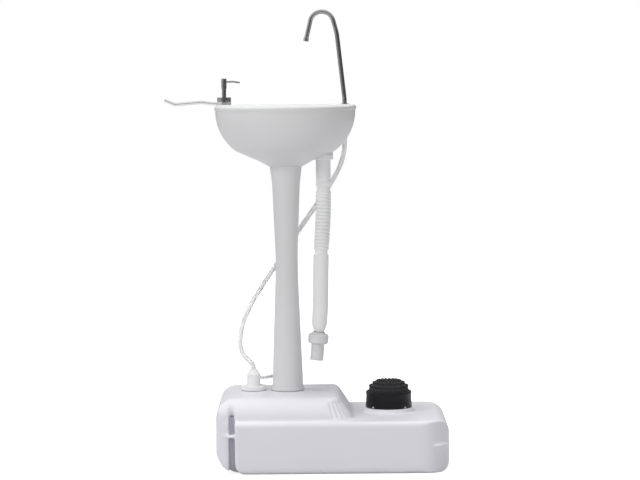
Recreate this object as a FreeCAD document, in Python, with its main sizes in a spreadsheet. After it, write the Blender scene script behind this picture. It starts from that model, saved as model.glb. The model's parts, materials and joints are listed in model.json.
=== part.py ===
"""Portable handwash station: a water tank with a foot pump, a waisted column, and a D-shaped basin.

The basin carries a swivel faucet, a soap pump and a swinging towel bar. A ribbed hose drains it and a thin
hose feeds the faucet from the tank. Millimetres, +Z up, origin at the centre of the tank's underside, +X to
the right and +Y to the rear of the station as its user faces it.
"""
import FreeCAD
import Part
import Sketcher
import math
import os
import re

Vector = FreeCAD.Vector
doc = FreeCAD.newDocument("handwash_station")
sheet = doc.addObject("Spreadsheet::Sheet", "sizes")

# Driving dimensions in millimetres; names that end in count, turns or folds are plain numbers
SIZES = {
    # Tank: a low block on the right and a high block on the left
    "tank_length": 514,
    "tank_depth": 345,
    "tank_wall": 3.5,
    "low_height": 115,
    "high_height": 163,
    "high_setback": 14,
    "high_wall_top": 14,
    "high_wall_foot": 45,
    "front_left_width": 42,
    # Roundings of the tank
    "foot_left_radius": 55,
    "foot_right_radius": 22,
    "foot_corner_radius": 24,
    "foot_edge_radius": 12,
    "shoulder_right_radius": 30,
    "low_edge_radius": 10,
    "high_shoulder_radius": 45,
    "high_left_radius": 42,
    "high_wall_radius": 20,
    "corner_edge_radius": 4,
    "corner_chamfer": 42,
    "corner_radius": 55,
    "high_corner_radius": 70,
    "high_corner_inset": 73.5,
    # Grooves, corner webs, flutes and hand grip of the tank
    "pillow_setback": 11,
    "pillow_radius": 24,
    "groove_width": 13,
    "groove_depth": 36,
    "groove_top": 128,
    "groove_radius": 6,
    "web_thickness": 5,
    "web_inset": 7,
    "left_web_level": 84,
    "right_web_level": 60,
    "flute_count": 5,
    "flute_radius": 6,
    "flute_depth": 2.5,
    "flute_pitch": 24,
    "flute_first": -98,
    "grip_length": 58,
    "grip_width": 84,
    "grip_depth": 6,
    "grip_offset": 34,
    "grip_front": 34,
    "finger_length": 34,
    "finger_width": 34,
    "finger_depth": 16,
    "finger_offset": 58,
    # Clearances: slip between round pieces, seat_gap where pieces must not touch
    "slip": 0.05,
    "seat_gap": 0.3,
    # Column and its well in the tank
    "column_inset": 157,
    "column_y": 17,
    "well_radius": 30,
    "well_depth": 45,
    "collar_radius": 36.5,
    "collar_height": 9,
    "collar_edge_radius": 3,
    "column_height": 505,
    "column_wall": 3.5,
    "column_foot_radius": 35.2,
    "column_waist_radius": 23.9,
    "waist_drop": 213,
    "column_waist_bend": 1500,
    "column_neck_radius": 31,
    "neck_drop": 40,
    "column_neck_bend": 120,
    "column_top_radius": 36,
    "spigot_radius": 28,
    "spigot_length": 30,
    # Basin
    "bowl_height": 136,
    "rim_radius": 158.5,
    "rim_thickness": 10,
    "rim_overhang": 1.5,
    "rim_edge_radius": 3,
    "deck_rear": 118,
    "deck_corner_radius": 32,
    "bowl_wall": 4.5,
    "bowl_floor_wall": 4,
    "bowl_rear": 62,
    "bowl_corner_radius": 30,
    "bowl_rear_radius": 24,
    "bowl_bend_radius": 112,
    "bowl_bend_rise": 35,
    "bowl_bulge": 12,
    "bowl_floor_radius": 106,
    "bowl_inner_bulge": 15,
    "skirt_radius": 38,
    "skirt_bend_radius": 60,
    "skirt_bend_rise": 12,
    # Drain
    "drain_offset": 84,
    "drain_bore_radius": 17,
    "drain_boss_radius": 22.5,
    "drain_seat_drop": 13,
    "strainer_bore": 14,
    "strainer_radius": 21,
    "strainer_lip": 2,
    "grate_hole_radius": 3,
    "grate_ring": 8.5,
    "gasket_thickness": 2,
    "drain_nut_height": 10,
    "nut_edge": 2,
    "tail_length": 61,
    "tail_radius": 16.5,
    "tail_bore": 12.5,
    "tail_end_radius": 14,
    "tail_end_length": 6,
    "tail_taper": 14,
    # Ribbed drain hose, its cuff and its threaded end
    "hose_radius": 17.3,
    "hose_root_radius": 14.6,
    "hose_bore": 12.5,
    "rib_count": 17,
    "ribbed_drop": 151,
    "ribbed_shift": -6.8,
    "cuff_radius": 17.6,
    "cuff_drop": 176,
    "cuff_shift": -6.2,
    "flange_radius": 23,
    "flange_length": 26,
    "flange_edge": 3,
    "flange_neck": 4,
    "nipple_radius": 15,
    "nipple_length": 38,
    # Faucet: insets are from the edges of the deck, heights are from the rim
    "faucet_inset": 24.5,
    "fixture_inset": 30,
    "faucet_hole_radius": 8,
    "faucet_radius": 5,
    "faucet_bore": 3.5,
    "faucet_foot_drop": 32,
    "faucet_bend_height": 12,
    "faucet_knee_reach": -16.5,
    "faucet_knee_height": 162,
    "faucet_crest_start": -30,
    "faucet_crest_end": -71.5,
    "faucet_height": 210.3,
    "faucet_mouth_reach": -85,
    "faucet_mouth_height": 152.6,
    "faucet_foot_bend": 60,
    "faucet_knee_bend": 110,
    "faucet_crest_bend": 26,
    "faucet_outlet_radius": 6,
    "faucet_outlet_length": 9,
    "shank_flange_radius": 9,
    "shank_flange_height": 2,
    "shank_drop": 36,
    "washer_thickness": 2,
    "faucet_nut_radius": 13,
    "faucet_nut_height": 9,
    "hose_nut_radius": 9,
    "hose_nut_height": 14,
    # Soap pump and towel bar: drops and heights are from the rim
    "soap_inset": 18.5,
    "soap_hole_radius": 9,
    "soap_collar_height": 18,
    "soap_stem_radius": 5,
    "soap_stem_drop": 12,
    "soap_neck_drop": 38,
    "soap_neck_wall": 2,
    "soap_piston_height": 4,
    "soap_nut_height": 8,
    "soap_nut_radius": 13,
    "soap_bottle_radius": 11.8,
    "soap_bottle_drop": 52,
    "soap_bottle_wall": 1.2,
    "soap_ledge": 1.5,
    "soap_head_radius": 6,
    "soap_head_rise": 38,
    "soap_head_height": 23,
    "soap_head_depth": 10,
    "nozzle_drop": 8,
    "nozzle_radius": 2.2,
    "nozzle_root": 2,
    "nozzle_bow_reach": 21,
    "nozzle_bow_rise": 0.8,
    "nozzle_reach": 36,
    "nozzle_tip_drop": 1.6,
    "nozzle_bend": 30,
    "soap_spring_radius": 5,
    "soap_spring_wire": 1,
    "soap_spring_turns": 5,
    "soap_tube_radius": 2,
    "towel_radius": 4,
    "towel_root": 12,
    "towel_straight": 28,
    "towel_bow_reach": 50,
    "towel_bow_rise": 3.45,
    "towel_hook_reach": 112,
    "towel_hook_dip": 1.5,
    "towel_tip_reach": 136,
    "towel_tip_rise": 8.5,
    "towel_bend": 50,
    "towel_bow_bend": 60,
    "towel_hook_bend": 12,
    "eye_height": 8,
    "eye_radius": 15.7,
    # Filler cap, its fitting and the dip tube: rises are from the top of the high block
    "cap_inset": 80,
    "neck_radius": 20,
    "neck_height": 5,
    "mouth_radius": 16.5,
    "cap_gasket_thickness": 1,
    "cap_flange_radius": 19.6,
    "cap_flange_thickness": 2,
    "cap_radius": 27,
    "cap_rise": 12,
    "cap_edge": 2,
    "cap_rib_count": 24,
    "cap_rib_radius": 1.6,
    "stem_radius": 8,
    "stem_bore": 3.5,
    "stem_rise": 33,
    "fitting_radius": 15.5,
    "fitting_rise": 48,
    "fitting_shoulder_rise": 36,
    "fitting_cone_radius": 7.5,
    "side_port_rise": 29,
    "side_port_radius": 3.8,
    "side_port_reach": 19,
    "dip_radius": 5,
    "dip_bottom": 14,
    "dip_strainer_radius": 9,
    "dip_strainer_height": 16,
    "dip_strainer_wall": 1.5,
    "dip_slot_count": 6,
    "dip_slot_width": 3,
    # Air barb and the two thin hoses
    "barb_offset": 55,
    "barb_bore_radius": 4,
    "barb_base_radius": 7,
    "barb_base_height": 3,
    "barb_radius": 2.6,
    "barb_rise": 9,
    "supply_radius": 5.25,
    "air_hose_radius": 4,
    # Foot pump: the cup stands on a boss, and the tread slides in the cup
    "pump_inset": 130,
    "pump_y": 0,
    "pump_boss_radius": 55,
    "pump_boss_height": 10,
    "port_radius": 4,
    "port_offset": 18,
    "pump_gasket_thickness": 1.5,
    "pump_gasket_width": 6,
    "pump_radius": 51,
    "pump_wall": 2.5,
    "pump_floor": 3,
    "pump_cup_height": 37,
    "pump_lip_radius": 46,
    "pump_lip_height": 4,
    "pump_bead": 0.8,
    "pump_bead_height": 3,
    "tread_radius": 45.6,
    "tread_flange_radius": 48,
    "tread_flange_height": 3,
    "tread_sink": 11,
    "tread_rise": 24,
    "tread_shoulder_drop": 22,
    "tread_crown_radius": 31,
    "tread_crown_drop": 4,
    "tread_wall": 3,
    "tread_bulge": 2,
    "nub_radius": 2,
    "nub_height": 1.5,
    "nub_ring_count": 6,
    "nub_pitch": 9,
    # Inside the foot pump
    "valve_plate_radius": 30,
    "valve_plate_thickness": 2,
    "flap_radius": 5.5,
    "flap_thickness": 1.2,
    "bellows_radius": 32,
    "bellows_fold_radius": 26,
    "bellows_wall": 2,
    "bellows_folds": 4,
    "pump_spring_radius": 18,
    "pump_spring_wire": 2.5,
    "pump_spring_turns": 5,
    "screw_ring": 41,
    "screw_radius": 2,
    "screw_head_radius": 4,
    "screw_head_height": 2.2,
    "screw_reach": 12,
}

# Levels and places that follow from the sizes, from the tank upwards
LEVELS = {
    "column_x": "column_inset - tank_length / 2",
    "cap_x": "cap_inset - tank_length / 2",
    "cap_y": "column_y",
    "barb_x": "cap_x + barb_offset",
    "barb_y": "cap_y + barb_offset",
    "pump_x": "tank_length / 2 - pump_inset",
    "grip_left": "column_x + grip_offset",
    "finger_left": "column_x + finger_offset",
    "column_top_level": "high_height + column_height",
    "column_waist_level": "column_top_level - waist_drop",
    "column_neck_level": "column_top_level - neck_drop",
    "rim_level": "column_top_level + bowl_height",
    "bowl_bend_level": "column_top_level + bowl_bend_rise",
    "skirt_bend_level": "column_top_level + skirt_bend_rise",
    "bowl_floor_level": "bowl_bend_level + bowl_floor_wall",
    "drain_x": "column_x + drain_offset",
    "drain_seat_level": "bowl_floor_level - drain_seat_drop",
    "nut_bottom": "drain_seat_level - gasket_thickness - drain_nut_height",
    "nut_middle": "nut_bottom + drain_nut_height / 2",
    "hose_top": "nut_bottom - tail_length",
    "faucet_x": "column_x + rim_radius - faucet_inset",
    "soap_x": "column_x - rim_radius + soap_inset",
    "fixture_y": "column_y + deck_rear - fixture_inset",
    "faucet_foot": "rim_level - faucet_foot_drop",
    "shank_bottom": "rim_level - shank_drop",
    "soap_top": "rim_level + soap_collar_height",
    "soap_stem_foot": "rim_level - soap_stem_drop",
    "soap_neck_bottom": "rim_level - soap_neck_drop",
    "soap_bottle_bottom": "rim_level - soap_bottle_drop",
    "soap_head_bottom": "rim_level + soap_head_rise",
    "soap_head_top": "soap_head_bottom + soap_head_height",
    "nozzle_level": "soap_head_top - nozzle_drop",
    "cap_top": "high_height + cap_rise",
    "stem_top": "high_height + stem_rise",
    "fitting_bottom": "cap_top + seat_gap",
    "fitting_shoulder": "high_height + fitting_shoulder_rise",
    "fitting_top": "high_height + fitting_rise",
    "side_port_level": "high_height + side_port_rise",
    "barb_stem_top": "high_height + barb_rise",
    "pump_top": "low_height + pump_boss_height + pump_cup_height",
    "tread_bottom": "pump_top - tread_sink",
    "tread_top": "pump_top + tread_rise",
    "tread_shoulder_level": "tread_top - tread_shoulder_drop",
    "tread_crown_level": "tread_top - tread_crown_drop",
}


for row, (alias, value) in enumerate(SIZES.items(), start=1):
    sheet.set("A%d" % row, alias)
    sheet.set("B%d" % row, str(value))
    sheet.setAlias("B%d" % row, alias)
doc.recompute()

PLANES = {
    "XY": FreeCAD.Rotation(),
    "XZ": FreeCAD.Rotation(Vector(1, 0, 0), 90),
    "YZ": FreeCAD.Rotation(Vector(1, 1, 1), 120),
}


def bound(text):
    """Turn a sum of size and level names into an expression on the sheet."""
    def cell(word):
        name = word[0]
        if name in LEVELS:
            return "(" + bound(LEVELS[name]) + ")"
        return "sizes." + name if name in SIZES else name

    return re.sub(r"[a-z_]+", cell, str(text))


def size(text):
    """The number that a sum of size names has now."""
    return float(sheet.evalExpression(bound(text)))


def place(item, x="0", y="0", z="0"):
    """Bind an object's position to the sheet."""
    for axis, text in (("x", x), ("y", y), ("z", z)):
        if text != "0":
            item.setExpression("Placement.Base." + axis, bound(text))


def bow(first, middle, last):
    """An arc through three points that runs anticlockwise, as sketches keep them."""
    turn = (middle - first).cross(last - middle).z
    return Part.Arc(first, middle, last) if turn > 0 else Part.Arc(last, middle, first)


def draw(sketch, corners):
    """Draw a closed outline of (x, y), (x, y, radius) or (x, y, "", bulge) corners, all bound to the sheet.

    A radius rounds its corner. A bulge bows the edge after its corner to the right of its direction.
    """
    count = len(corners)
    spots = [Vector(size(c[0]), size(c[1]), 0) for c in corners]
    radii = [size(c[2]) if len(c) > 2 and c[2] else 0.0 for c in corners]
    bows = [c[3] if len(c) > 3 else "" for c in corners]
    starts = list(spots)
    ends = list(spots)
    for i in range(count):
        if radii[i]:
            back = (spots[i - 1] - spots[i]).normalize()
            ahead = (spots[(i + 1) % count] - spots[i]).normalize()
            reach = radii[i] / math.tan(back.getAngle(ahead) / 2)
            ends[i] = spots[i] + back * reach
            starts[i] = spots[i] + ahead * reach
    edges = []
    for i in range(count):
        first, last = starts[i], ends[(i + 1) % count]
        if bows[i]:
            run = last - first
            side = Vector(run.y, -run.x, 0).normalize()
            middle = (first + last) * 0.5 + side * size(bows[i])
            edges.append(sketch.addGeometry(bow(first, middle, last), False))
        else:
            edges.append(sketch.addGeometry(Part.LineSegment(first, last), False))
    rules = []
    bindings = []

    def pin(geometry, point, corner):
        for kind, text in (("DistanceX", corner[0]), ("DistanceY", corner[1])):
            bindings.append((len(rules), text))
            rules.append(Sketcher.Constraint(kind, -1, 1, geometry, point, size(text)))

    def tip(i, at_start):
        # An arc keeps its own start and end, which may run against the outline
        edge = sketch.Geometry[edges[i]]
        spot = starts[i] if at_start else ends[(i + 1) % count]
        return 1 if edge.StartPoint.distanceToPoint(spot) < 1e-6 else 2

    for i in range(count):
        before, after = edges[i - 1], edges[i]
        if radii[i]:
            toward = spots[i] - (ends[i] + starts[i]) * 0.5
            half_angle = math.atan2(toward.Length, (starts[i] - ends[i]).Length / 2)
            depth = radii[i] * (1 - math.cos(half_angle))
            middle = (ends[i] + starts[i]) * 0.5 + toward.normalize() * depth
            rounding = sketch.addGeometry(bow(ends[i], middle, starts[i]), False)
            head = 1 if sketch.Geometry[rounding].StartPoint.distanceToPoint(ends[i]) < 1e-6 else 2
            mark = sketch.addGeometry(Part.Point(spots[i]), True)
            pin(mark, 1, corners[i])
            rules.append(Sketcher.Constraint("PointOnObject", mark, 1, before))
            rules.append(Sketcher.Constraint("PointOnObject", mark, 1, after))
            rules.append(Sketcher.Constraint("Tangent", before, 2, rounding, head))
            rules.append(Sketcher.Constraint("Tangent", after, 1, rounding, 3 - head))
            bindings.append((len(rules), corners[i][2]))
            rules.append(Sketcher.Constraint("Radius", rounding, radii[i]))
        else:
            rules.append(Sketcher.Constraint("Coincident", before, tip(i - 1, False), after, tip(i, True)))
            pin(after, tip(i, True), corners[i])
        if bows[i]:
            after_corner = corners[(i + 1) % count]
            chord = "((%s - (%s))^2 + (%s - (%s))^2)" % (
                after_corner[0], corners[i][0], after_corner[1], corners[i][1])
            text = "%s / (8 * abs(%s)) + abs(%s) / 2" % (chord, bows[i], bows[i])
            bindings.append((len(rules), text))
            rules.append(Sketcher.Constraint("Radius", after, size(text)))
    sketch.addConstraint(rules)
    for index, text in bindings:
        sketch.setExpression("Constraints[%d]" % index, bound(text))


def outline(name, plane, corners):
    """A sketch of its own on one of the frame's planes."""
    sketch = doc.addObject("Sketcher::SketchObject", name)
    sketch.Placement = FreeCAD.Placement(Vector(), PLANES[plane])
    draw(sketch, corners)
    return sketch


def prism(name, plane, corners, length, at=("0", "0", "0"), both_ways=False, backwards=False):
    """Extrude an outline drawn about a point along its plane's normal, against it, or to both sides."""
    sketch = outline(name + "_outline", plane, corners)
    place(sketch, *at)
    solid = doc.addObject("Part::Extrusion", name)
    solid.Base = sketch
    solid.DirMode = "Normal"
    solid.Solid = True
    solid.Symmetric = both_ways
    solid.Reversed = backwards
    solid.setExpression("LengthFwd", bound(length))
    return solid


def combine(kind, name, parts):
    """A boolean of several objects: MultiFuse, MultiCommon, or Cut with the first as its base."""
    joined = doc.addObject("Part::" + kind, name)
    if kind == "Cut":
        joined.Base, joined.Tool = parts
    else:
        joined.Shapes = parts
    return joined


def cylinder(name, radius, height, x="0", y="0", z="0"):
    rod = doc.addObject("Part::Cylinder", name)
    rod.setExpression("Radius", bound(radius))
    rod.setExpression("Height", bound(height))
    place(rod, x, y, z)
    return rod


def cone(name, foot_radius, top_radius, height, x="0", y="0", z="0"):
    """A standing cone."""
    item = doc.addObject("Part::Cone", name)
    item.setExpression("Radius1", bound(foot_radius))
    item.setExpression("Radius2", bound(top_radius))
    item.setExpression("Height", bound(height))
    place(item, x, y, z)
    return item


def block(name, length, width, height, x="0", y="0", z="0"):
    brick = doc.addObject("Part::Box", name)
    brick.setExpression("Length", bound(length))
    brick.setExpression("Width", bound(width))
    brick.setExpression("Height", bound(height))
    place(brick, x, y, z)
    return brick


def turned(name, corners, x="0", y="0", z="0"):
    """A body turned about its own upright axis from an outline of (radius, height) corners."""
    body = doc.addObject("PartDesign::Body", name)
    plane = [item for item in body.Origin.OriginFeatures if item.Role == "XZ_Plane"][0]
    sketch = body.newObject("Sketcher::SketchObject", name + "_outline")
    sketch.AttachmentSupport = [(plane, "")]
    sketch.MapMode = "FlatFace"
    draw(sketch, corners)
    turn = body.newObject("PartDesign::Revolution", name + "_turn")
    turn.Profile = sketch
    turn.ReferenceAxis = (sketch, ["V_Axis"])
    turn.Angle = 360
    place(body, x, y, z)
    return body


PARTS = []


def node(item, name):
    """Register a finished sub-part under the name that its file gets."""
    item.Label = name
    PARTS.append(item)
    return item

# Tank: outer form where side, end and plan outlines cross
LEFT, RIGHT = "-tank_length / 2", "tank_length / 2"
FRONT, REAR = "-tank_depth / 2", "tank_depth / 2"


def tank_form(name, inset):
    """The tank's form, drawn in from the outside by an inset on every wall."""
    left, right = LEFT + " + " + inset, RIGHT + " - " + inset
    near, far = FRONT + " + " + inset, REAR + " - " + inset
    floor = inset
    low_top, high_top = "low_height - " + inset, "high_height - " + inset
    high_near, high_far = near + " + high_setback", far + " - high_setback"
    sunk = "low_height / 3"
    low_side = prism(name + "_low_side", "XZ", [
        (left, floor, "foot_left_radius"),
        (right, floor, "foot_right_radius"),
        (right, low_top, "shoulder_right_radius"),
        (left, low_top, "low_edge_radius"),
    ], "tank_depth", both_ways=True)
    low_end = prism(name + "_low_end", "YZ", [
        (near, floor, "foot_edge_radius"),
        (far, floor, "foot_edge_radius"),
        (far, low_top, "low_edge_radius"),
        (near, low_top, "low_edge_radius"),
    ], "tank_length", both_ways=True)
    high_side = prism(name + "_high_side", "XZ", [
        (left, sunk),
        ("high_wall_foot - " + inset, sunk),
        ("high_wall_foot - " + inset, low_top),
        ("high_wall_top - " + inset, high_top, "high_wall_radius"),
        (left, high_top, "high_left_radius"),
    ], "tank_depth", both_ways=True)
    high_end = prism(name + "_high_end", "YZ", [
        (high_near, sunk),
        (high_far, sunk),
        (high_far, high_top, "high_shoulder_radius"),
        (high_near, high_top, "high_shoulder_radius"),
    ], "tank_length", both_ways=True)
    groove_x = LEFT + " + front_left_width + " + inset
    chamfer_x = RIGHT + " - corner_chamfer - " + inset
    plan = prism(name + "_plan", "XY", [
        (groove_x, near, "corner_edge_radius"),
        (chamfer_x, near, "corner_radius"),
        (right, near + " + corner_chamfer", "corner_radius"),
        (right, far + " - corner_chamfer", "corner_radius"),
        (chamfer_x, far, "corner_radius"),
        (groove_x, far, "corner_edge_radius"),
        (groove_x, far + " - pillow_setback"),
        (left, far + " - pillow_setback", "pillow_radius"),
        (left, near + " + pillow_setback", "pillow_radius"),
        (groove_x, near + " + pillow_setback"),
    ], "high_height")
    groove_left = LEFT + " + front_left_width - groove_width - " + inset
    grooves = []
    for side, ahead in ((-1, False), (1, True)):
        grooves.append(prism("%s_groove_%d" % (name, side + 1), "XZ", [
            (groove_left, "-web_inset"),
            (groove_x, "-web_inset"),
            (groove_x, "groove_top + " + inset, "groove_radius"),
            (groove_left, "groove_top + " + inset, "groove_radius"),
        ], "2 * groove_depth", ("0", "%d * (tank_depth / 2 - groove_depth - %s)" % (side, inset), "0"),
            backwards=ahead))
    low = combine("MultiCommon", name + "_low", [low_side, low_end])
    wall_x = "high_wall_foot - high_corner_radius"
    lean = "(high_wall_foot - high_wall_top) / (high_height - low_height)"
    height = high_top + " - " + sunk
    rounded = [
        block(name + "_high_left", wall_x + " - (" + left + ")", "tank_depth", height, left, FRONT, sunk),
        block(name + "_high_middle", "2 * high_corner_radius", "tank_depth - 2 * high_corner_inset", height,
              wall_x, FRONT + " + high_corner_inset", sunk),
    ]
    for side in (-1, 1):
        rounded.append(cone(
            "%s_high_corner_%d" % (name, side + 1),
            "high_corner_radius - %s + (low_height - %s) * %s" % (inset, sunk, lean),
            "high_corner_radius - %s - (high_height - low_height) * %s" % (inset, lean),
            height, wall_x, "%d * (tank_depth / 2 - high_corner_inset)" % side, sunk))
    high = combine("MultiCommon", name + "_high",
                   [high_side, high_end, combine("MultiFuse", name + "_high_plan", rounded)])
    stack = combine("MultiFuse", name + "_stack", [low, high])
    whole = combine("MultiCommon", name + "_whole", [stack, plan])
    return combine("Cut", name, [whole, combine("MultiFuse", name + "_grooves", grooves)])


def corner_web(name, side, rear, level):
    """A thin web across one corner recess of the tank. Side is -1 on the left, rear is 1 at the back."""
    inner_x = "%d * (tank_length / 2 - corner_chamfer - 2 * web_inset)" % side
    edge_x = "%d * (tank_length / 2 - corner_chamfer / 2)" % side
    outer_x = "%d * (tank_length / 2 - web_inset / 2)" % side
    outer_y = "%d * (tank_depth / 2 - web_inset)" % rear
    bend_y = "%d * (tank_depth / 2 - corner_chamfer / 2 - web_inset)" % rear
    inner_y = "%d * (tank_depth / 2 - corner_chamfer - 2 * web_inset)" % rear
    corners = [(inner_x, outer_y), (edge_x, outer_y), (outer_x, bend_y), (outer_x, inner_y), (inner_x, inner_y)]
    return prism(name, "XY", corners, "web_thickness", ("0", "0", level + " - web_thickness / 2"))


outer = tank_form("tank_outer", "0")
cavity = tank_form("tank_cavity", "tank_wall")
webbed = [outer]
for side, level in ((-1, "left_web_level"), (1, "right_web_level")):
    for rear in (-1, 1):
        webbed.append(corner_web("web_%d" % len(webbed), side, rear, level))
shell = combine("Cut", "tank_shell", [combine("MultiFuse", "tank_webbed", webbed), cavity])

# Bosses moulded on the shell: column well, filler neck, pump seat and the hand grip
WELL_FLOOR = "high_height - well_depth"
well_boss = cylinder("well_boss", "well_radius + tank_wall", "well_depth + tank_wall - 1", "column_x", "column_y",
                     WELL_FLOOR + " - tank_wall")
neck_boss = cylinder("neck_boss", "neck_radius", "neck_height + tank_wall", "cap_x", "cap_y",
                     "high_height - tank_wall")
pump_boss = cylinder("pump_boss", "pump_boss_radius", "pump_boss_height + tank_wall", "pump_x", "pump_y",
                     "low_height - tank_wall")
grip_boss = block("grip_boss", "grip_length + 2 * tank_wall", "grip_width + 2 * tank_wall",
                  "grip_depth + tank_wall - 1", "grip_left - tank_wall", "grip_front - tank_wall",
                  "high_height - grip_depth - tank_wall")
finger_boss = block("finger_boss", "finger_length + 2 * tank_wall", "finger_width + 2 * tank_wall",
                    "finger_depth + tank_wall - 1", "finger_left - tank_wall",
                    "grip_front - finger_width - tank_wall", "high_height - finger_depth - tank_wall")
bossed = combine("MultiFuse", "tank_bossed",
                 [shell, well_boss, neck_boss, pump_boss, grip_boss, finger_boss])

# Openings cut through it: well, filler mouth, air ports, grip recess, finger pocket and wall flutes
cuts = [
    cylinder("well_bore", "well_radius", "well_depth + 1", "column_x", "column_y", WELL_FLOOR),
    cylinder("mouth_bore", "mouth_radius", "neck_height + 3 * tank_wall", "cap_x", "cap_y",
             "high_height - 2 * tank_wall"),
    cylinder("inlet_bore", "port_radius", "pump_boss_height + 3 * tank_wall", "pump_x + port_offset", "pump_y",
             "low_height - 2 * tank_wall"),
    cylinder("barb_bore", "barb_bore_radius", "3 * tank_wall", "barb_x", "barb_y", "high_height - 2 * tank_wall"),
    block("grip_cut", "grip_length", "grip_width", "grip_depth + 1", "grip_left", "grip_front",
          "high_height - grip_depth"),
    block("finger_cut", "finger_length", "finger_width + 1", "finger_depth + 1", "finger_left",
          "grip_front - finger_width", "high_height - finger_depth"),
]
foot_x = LEFT + " + front_left_width"
for side, ahead in ((-1, False), (1, True)):
    cuts.append(prism("foot_cut_%d" % (side + 1), "XZ", [
        (foot_x + " - web_inset", "-web_inset"),
        (foot_x + " + foot_corner_radius", "-web_inset"),
        (foot_x + " + foot_corner_radius", "0", "", "foot_corner_radius * (sqrt(0.5) - 1)"),
        (foot_x, "foot_corner_radius"),
        (foot_x + " - web_inset", "foot_corner_radius"),
    ], "groove_depth", ("0", "%d * (tank_depth / 2 - groove_depth)" % side, "0"), backwards=ahead))
for index in range(4):
    turn = math.radians(45 + 90 * index)
    cuts.append(cylinder(
        "screw_hole_%d" % index, "screw_radius + slip", "screw_reach + tank_wall",
        "pump_x + screw_ring * %.4f" % math.cos(turn), "pump_y + screw_ring * %.4f" % math.sin(turn),
        "low_height + pump_boss_height - screw_reach"))
wall_run = Vector(size("high_wall_top - high_wall_foot"), 0, size("high_height - low_height"))
for index in range(int(size("flute_count"))):
    flute = cylinder("flute_%d" % index, "flute_radius", "high_height",
                     "high_wall_foot + flute_radius - flute_depth + (high_wall_foot - high_wall_top) / 4",
                     "flute_first + %d * flute_pitch" % index, "low_height - flute_radius")
    flute.Placement.Rotation = FreeCAD.Rotation(Vector(0, 0, 1), wall_run)
    cuts.append(flute)
node(combine("Cut", "tank", [bossed, combine("MultiFuse", "tank_cuts", cuts)]), "tank")

# Column: a waisted tube with a spigot at each end, and the loose collar at its foot
AXIS = ("column_x", "column_y")
SHOULDER = "high_height + collar_height"
node(turned("column", [
    ("well_radius - slip", WELL_FLOOR + " + seat_gap"),
    ("well_radius - slip", SHOULDER),
    ("column_foot_radius", SHOULDER),
    ("column_waist_radius", "column_waist_level", "column_waist_bend"),
    ("column_neck_radius", "column_neck_level", "column_neck_bend"),
    ("column_top_radius", "column_top_level"),
    ("spigot_radius - slip", "column_top_level"),
    ("spigot_radius - slip", "column_top_level + spigot_length"),
    ("spigot_radius - slip - column_wall", "column_top_level + spigot_length"),
    ("spigot_radius - slip - column_wall", "column_neck_level"),
    ("column_waist_radius - column_wall", "column_waist_level", "column_waist_bend"),
    ("well_radius - slip - column_wall", SHOULDER),
    ("well_radius - slip - column_wall", WELL_FLOOR + " + seat_gap"),
], *AXIS), "column")
node(turned("column_collar", [
    ("well_radius + slip", "high_height"),
    ("collar_radius", "high_height"),
    ("collar_radius", SHOULDER, "collar_edge_radius"),
    ("well_radius + slip", SHOULDER),
], *AXIS), "column_collar")

# Basin: a bowl turned at the front and run straight to the rear, under a flat D-shaped rim and deck
BODY = "rim_radius - rim_overhang"
UNDER_RIM = "rim_level - rim_thickness"
ABOVE = "rim_level + rim_thickness"


def bowl_form(name, low, wall, half, rear, end):
    """A bowl: its low outline and wall turned about the column's axis, run back to a rear wall.

    Low and wall are chains of (radius, height) corners going up, half and rear bound it in plan, and end is
    the lower part of its outline seen from the side.
    """
    bottom, top = (low + wall)[0][1], wall[-1][1]
    round_part = turned(name + "_round", [("0", bottom)] + low + wall + [("0", top)], *AXIS)
    left = [("-(%s)" % wall[1][0], wall[1][1], "", wall[0][3]), ("-(%s)" % wall[0][0], wall[0][1])]
    run_part = prism(name + "_run", "XZ", wall + left, rear, AXIS, backwards=True)
    far_side = "-2 * rim_radius"
    plan = prism(name + "_plan", "XY", [
        ("-(%s)" % half, far_side),
        (half, far_side),
        (half, rear, "bowl_corner_radius"),
        ("-(%s)" % half, rear, "bowl_corner_radius"),
    ], "2 * rim_level", AXIS)
    side = prism(name + "_side", "YZ", [(far_side, end[0][1])] + end + [(rear, top), (far_side, top)],
                 "4 * rim_radius", AXIS, both_ways=True)
    whole = combine("MultiFuse", name + "_whole", [round_part, run_part])
    return combine("MultiCommon", name, [whole, plan, side])


bowl = bowl_form(
    "bowl",
    [("skirt_radius", "column_top_level"), ("skirt_bend_radius", "skirt_bend_level")],
    [("bowl_bend_radius", "bowl_bend_level", "", "bowl_bulge"), (BODY, UNDER_RIM)],
    BODY,
    "bowl_rear",
    [("skirt_radius", "column_top_level"), ("bowl_rear", "bowl_bend_level", "bowl_rear_radius")],
)
hollow = bowl_form(
    "hollow",
    [],
    [("bowl_floor_radius", "bowl_floor_level", "", "bowl_inner_bulge"), (BODY + " - bowl_wall", ABOVE)],
    BODY + " - bowl_wall",
    "bowl_rear - bowl_wall",
    [("bowl_rear - bowl_wall", "bowl_floor_level", "bowl_rear_radius")],
)
QUARTER = "rim_radius * (1 - sqrt(0.5))"
deck = prism("deck_blank", "XY", [
    ("rim_radius", "0"),
    ("rim_radius", "deck_rear", "deck_corner_radius"),
    ("-rim_radius", "deck_rear", "deck_corner_radius"),
    ("-rim_radius", "0", "", QUARTER),
    ("0", "-rim_radius", "", QUARTER),
], "rim_thickness", AXIS + (UNDER_RIM,))
doc.recompute()
rim = doc.addObject("Part::Fillet", "deck")
rim.Base = deck
rim_edges = []
for index, edge in enumerate(deck.Shape.Edges, start=1):
    if edge.BoundBox.ZLength < size("rim_thickness") / 2:
        rim_edges.append((index, size("rim_edge_radius"), size("rim_edge_radius")))
rim.Edges = rim_edges
drain_boss = cylinder("drain_boss", "drain_boss_radius", "bowl_floor_level - drain_seat_level - bowl_wall / 2",
                      "drain_x", "column_y", "drain_seat_level")
basin_solid = combine("MultiFuse", "basin_solid", [bowl, rim, drain_boss])
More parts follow.
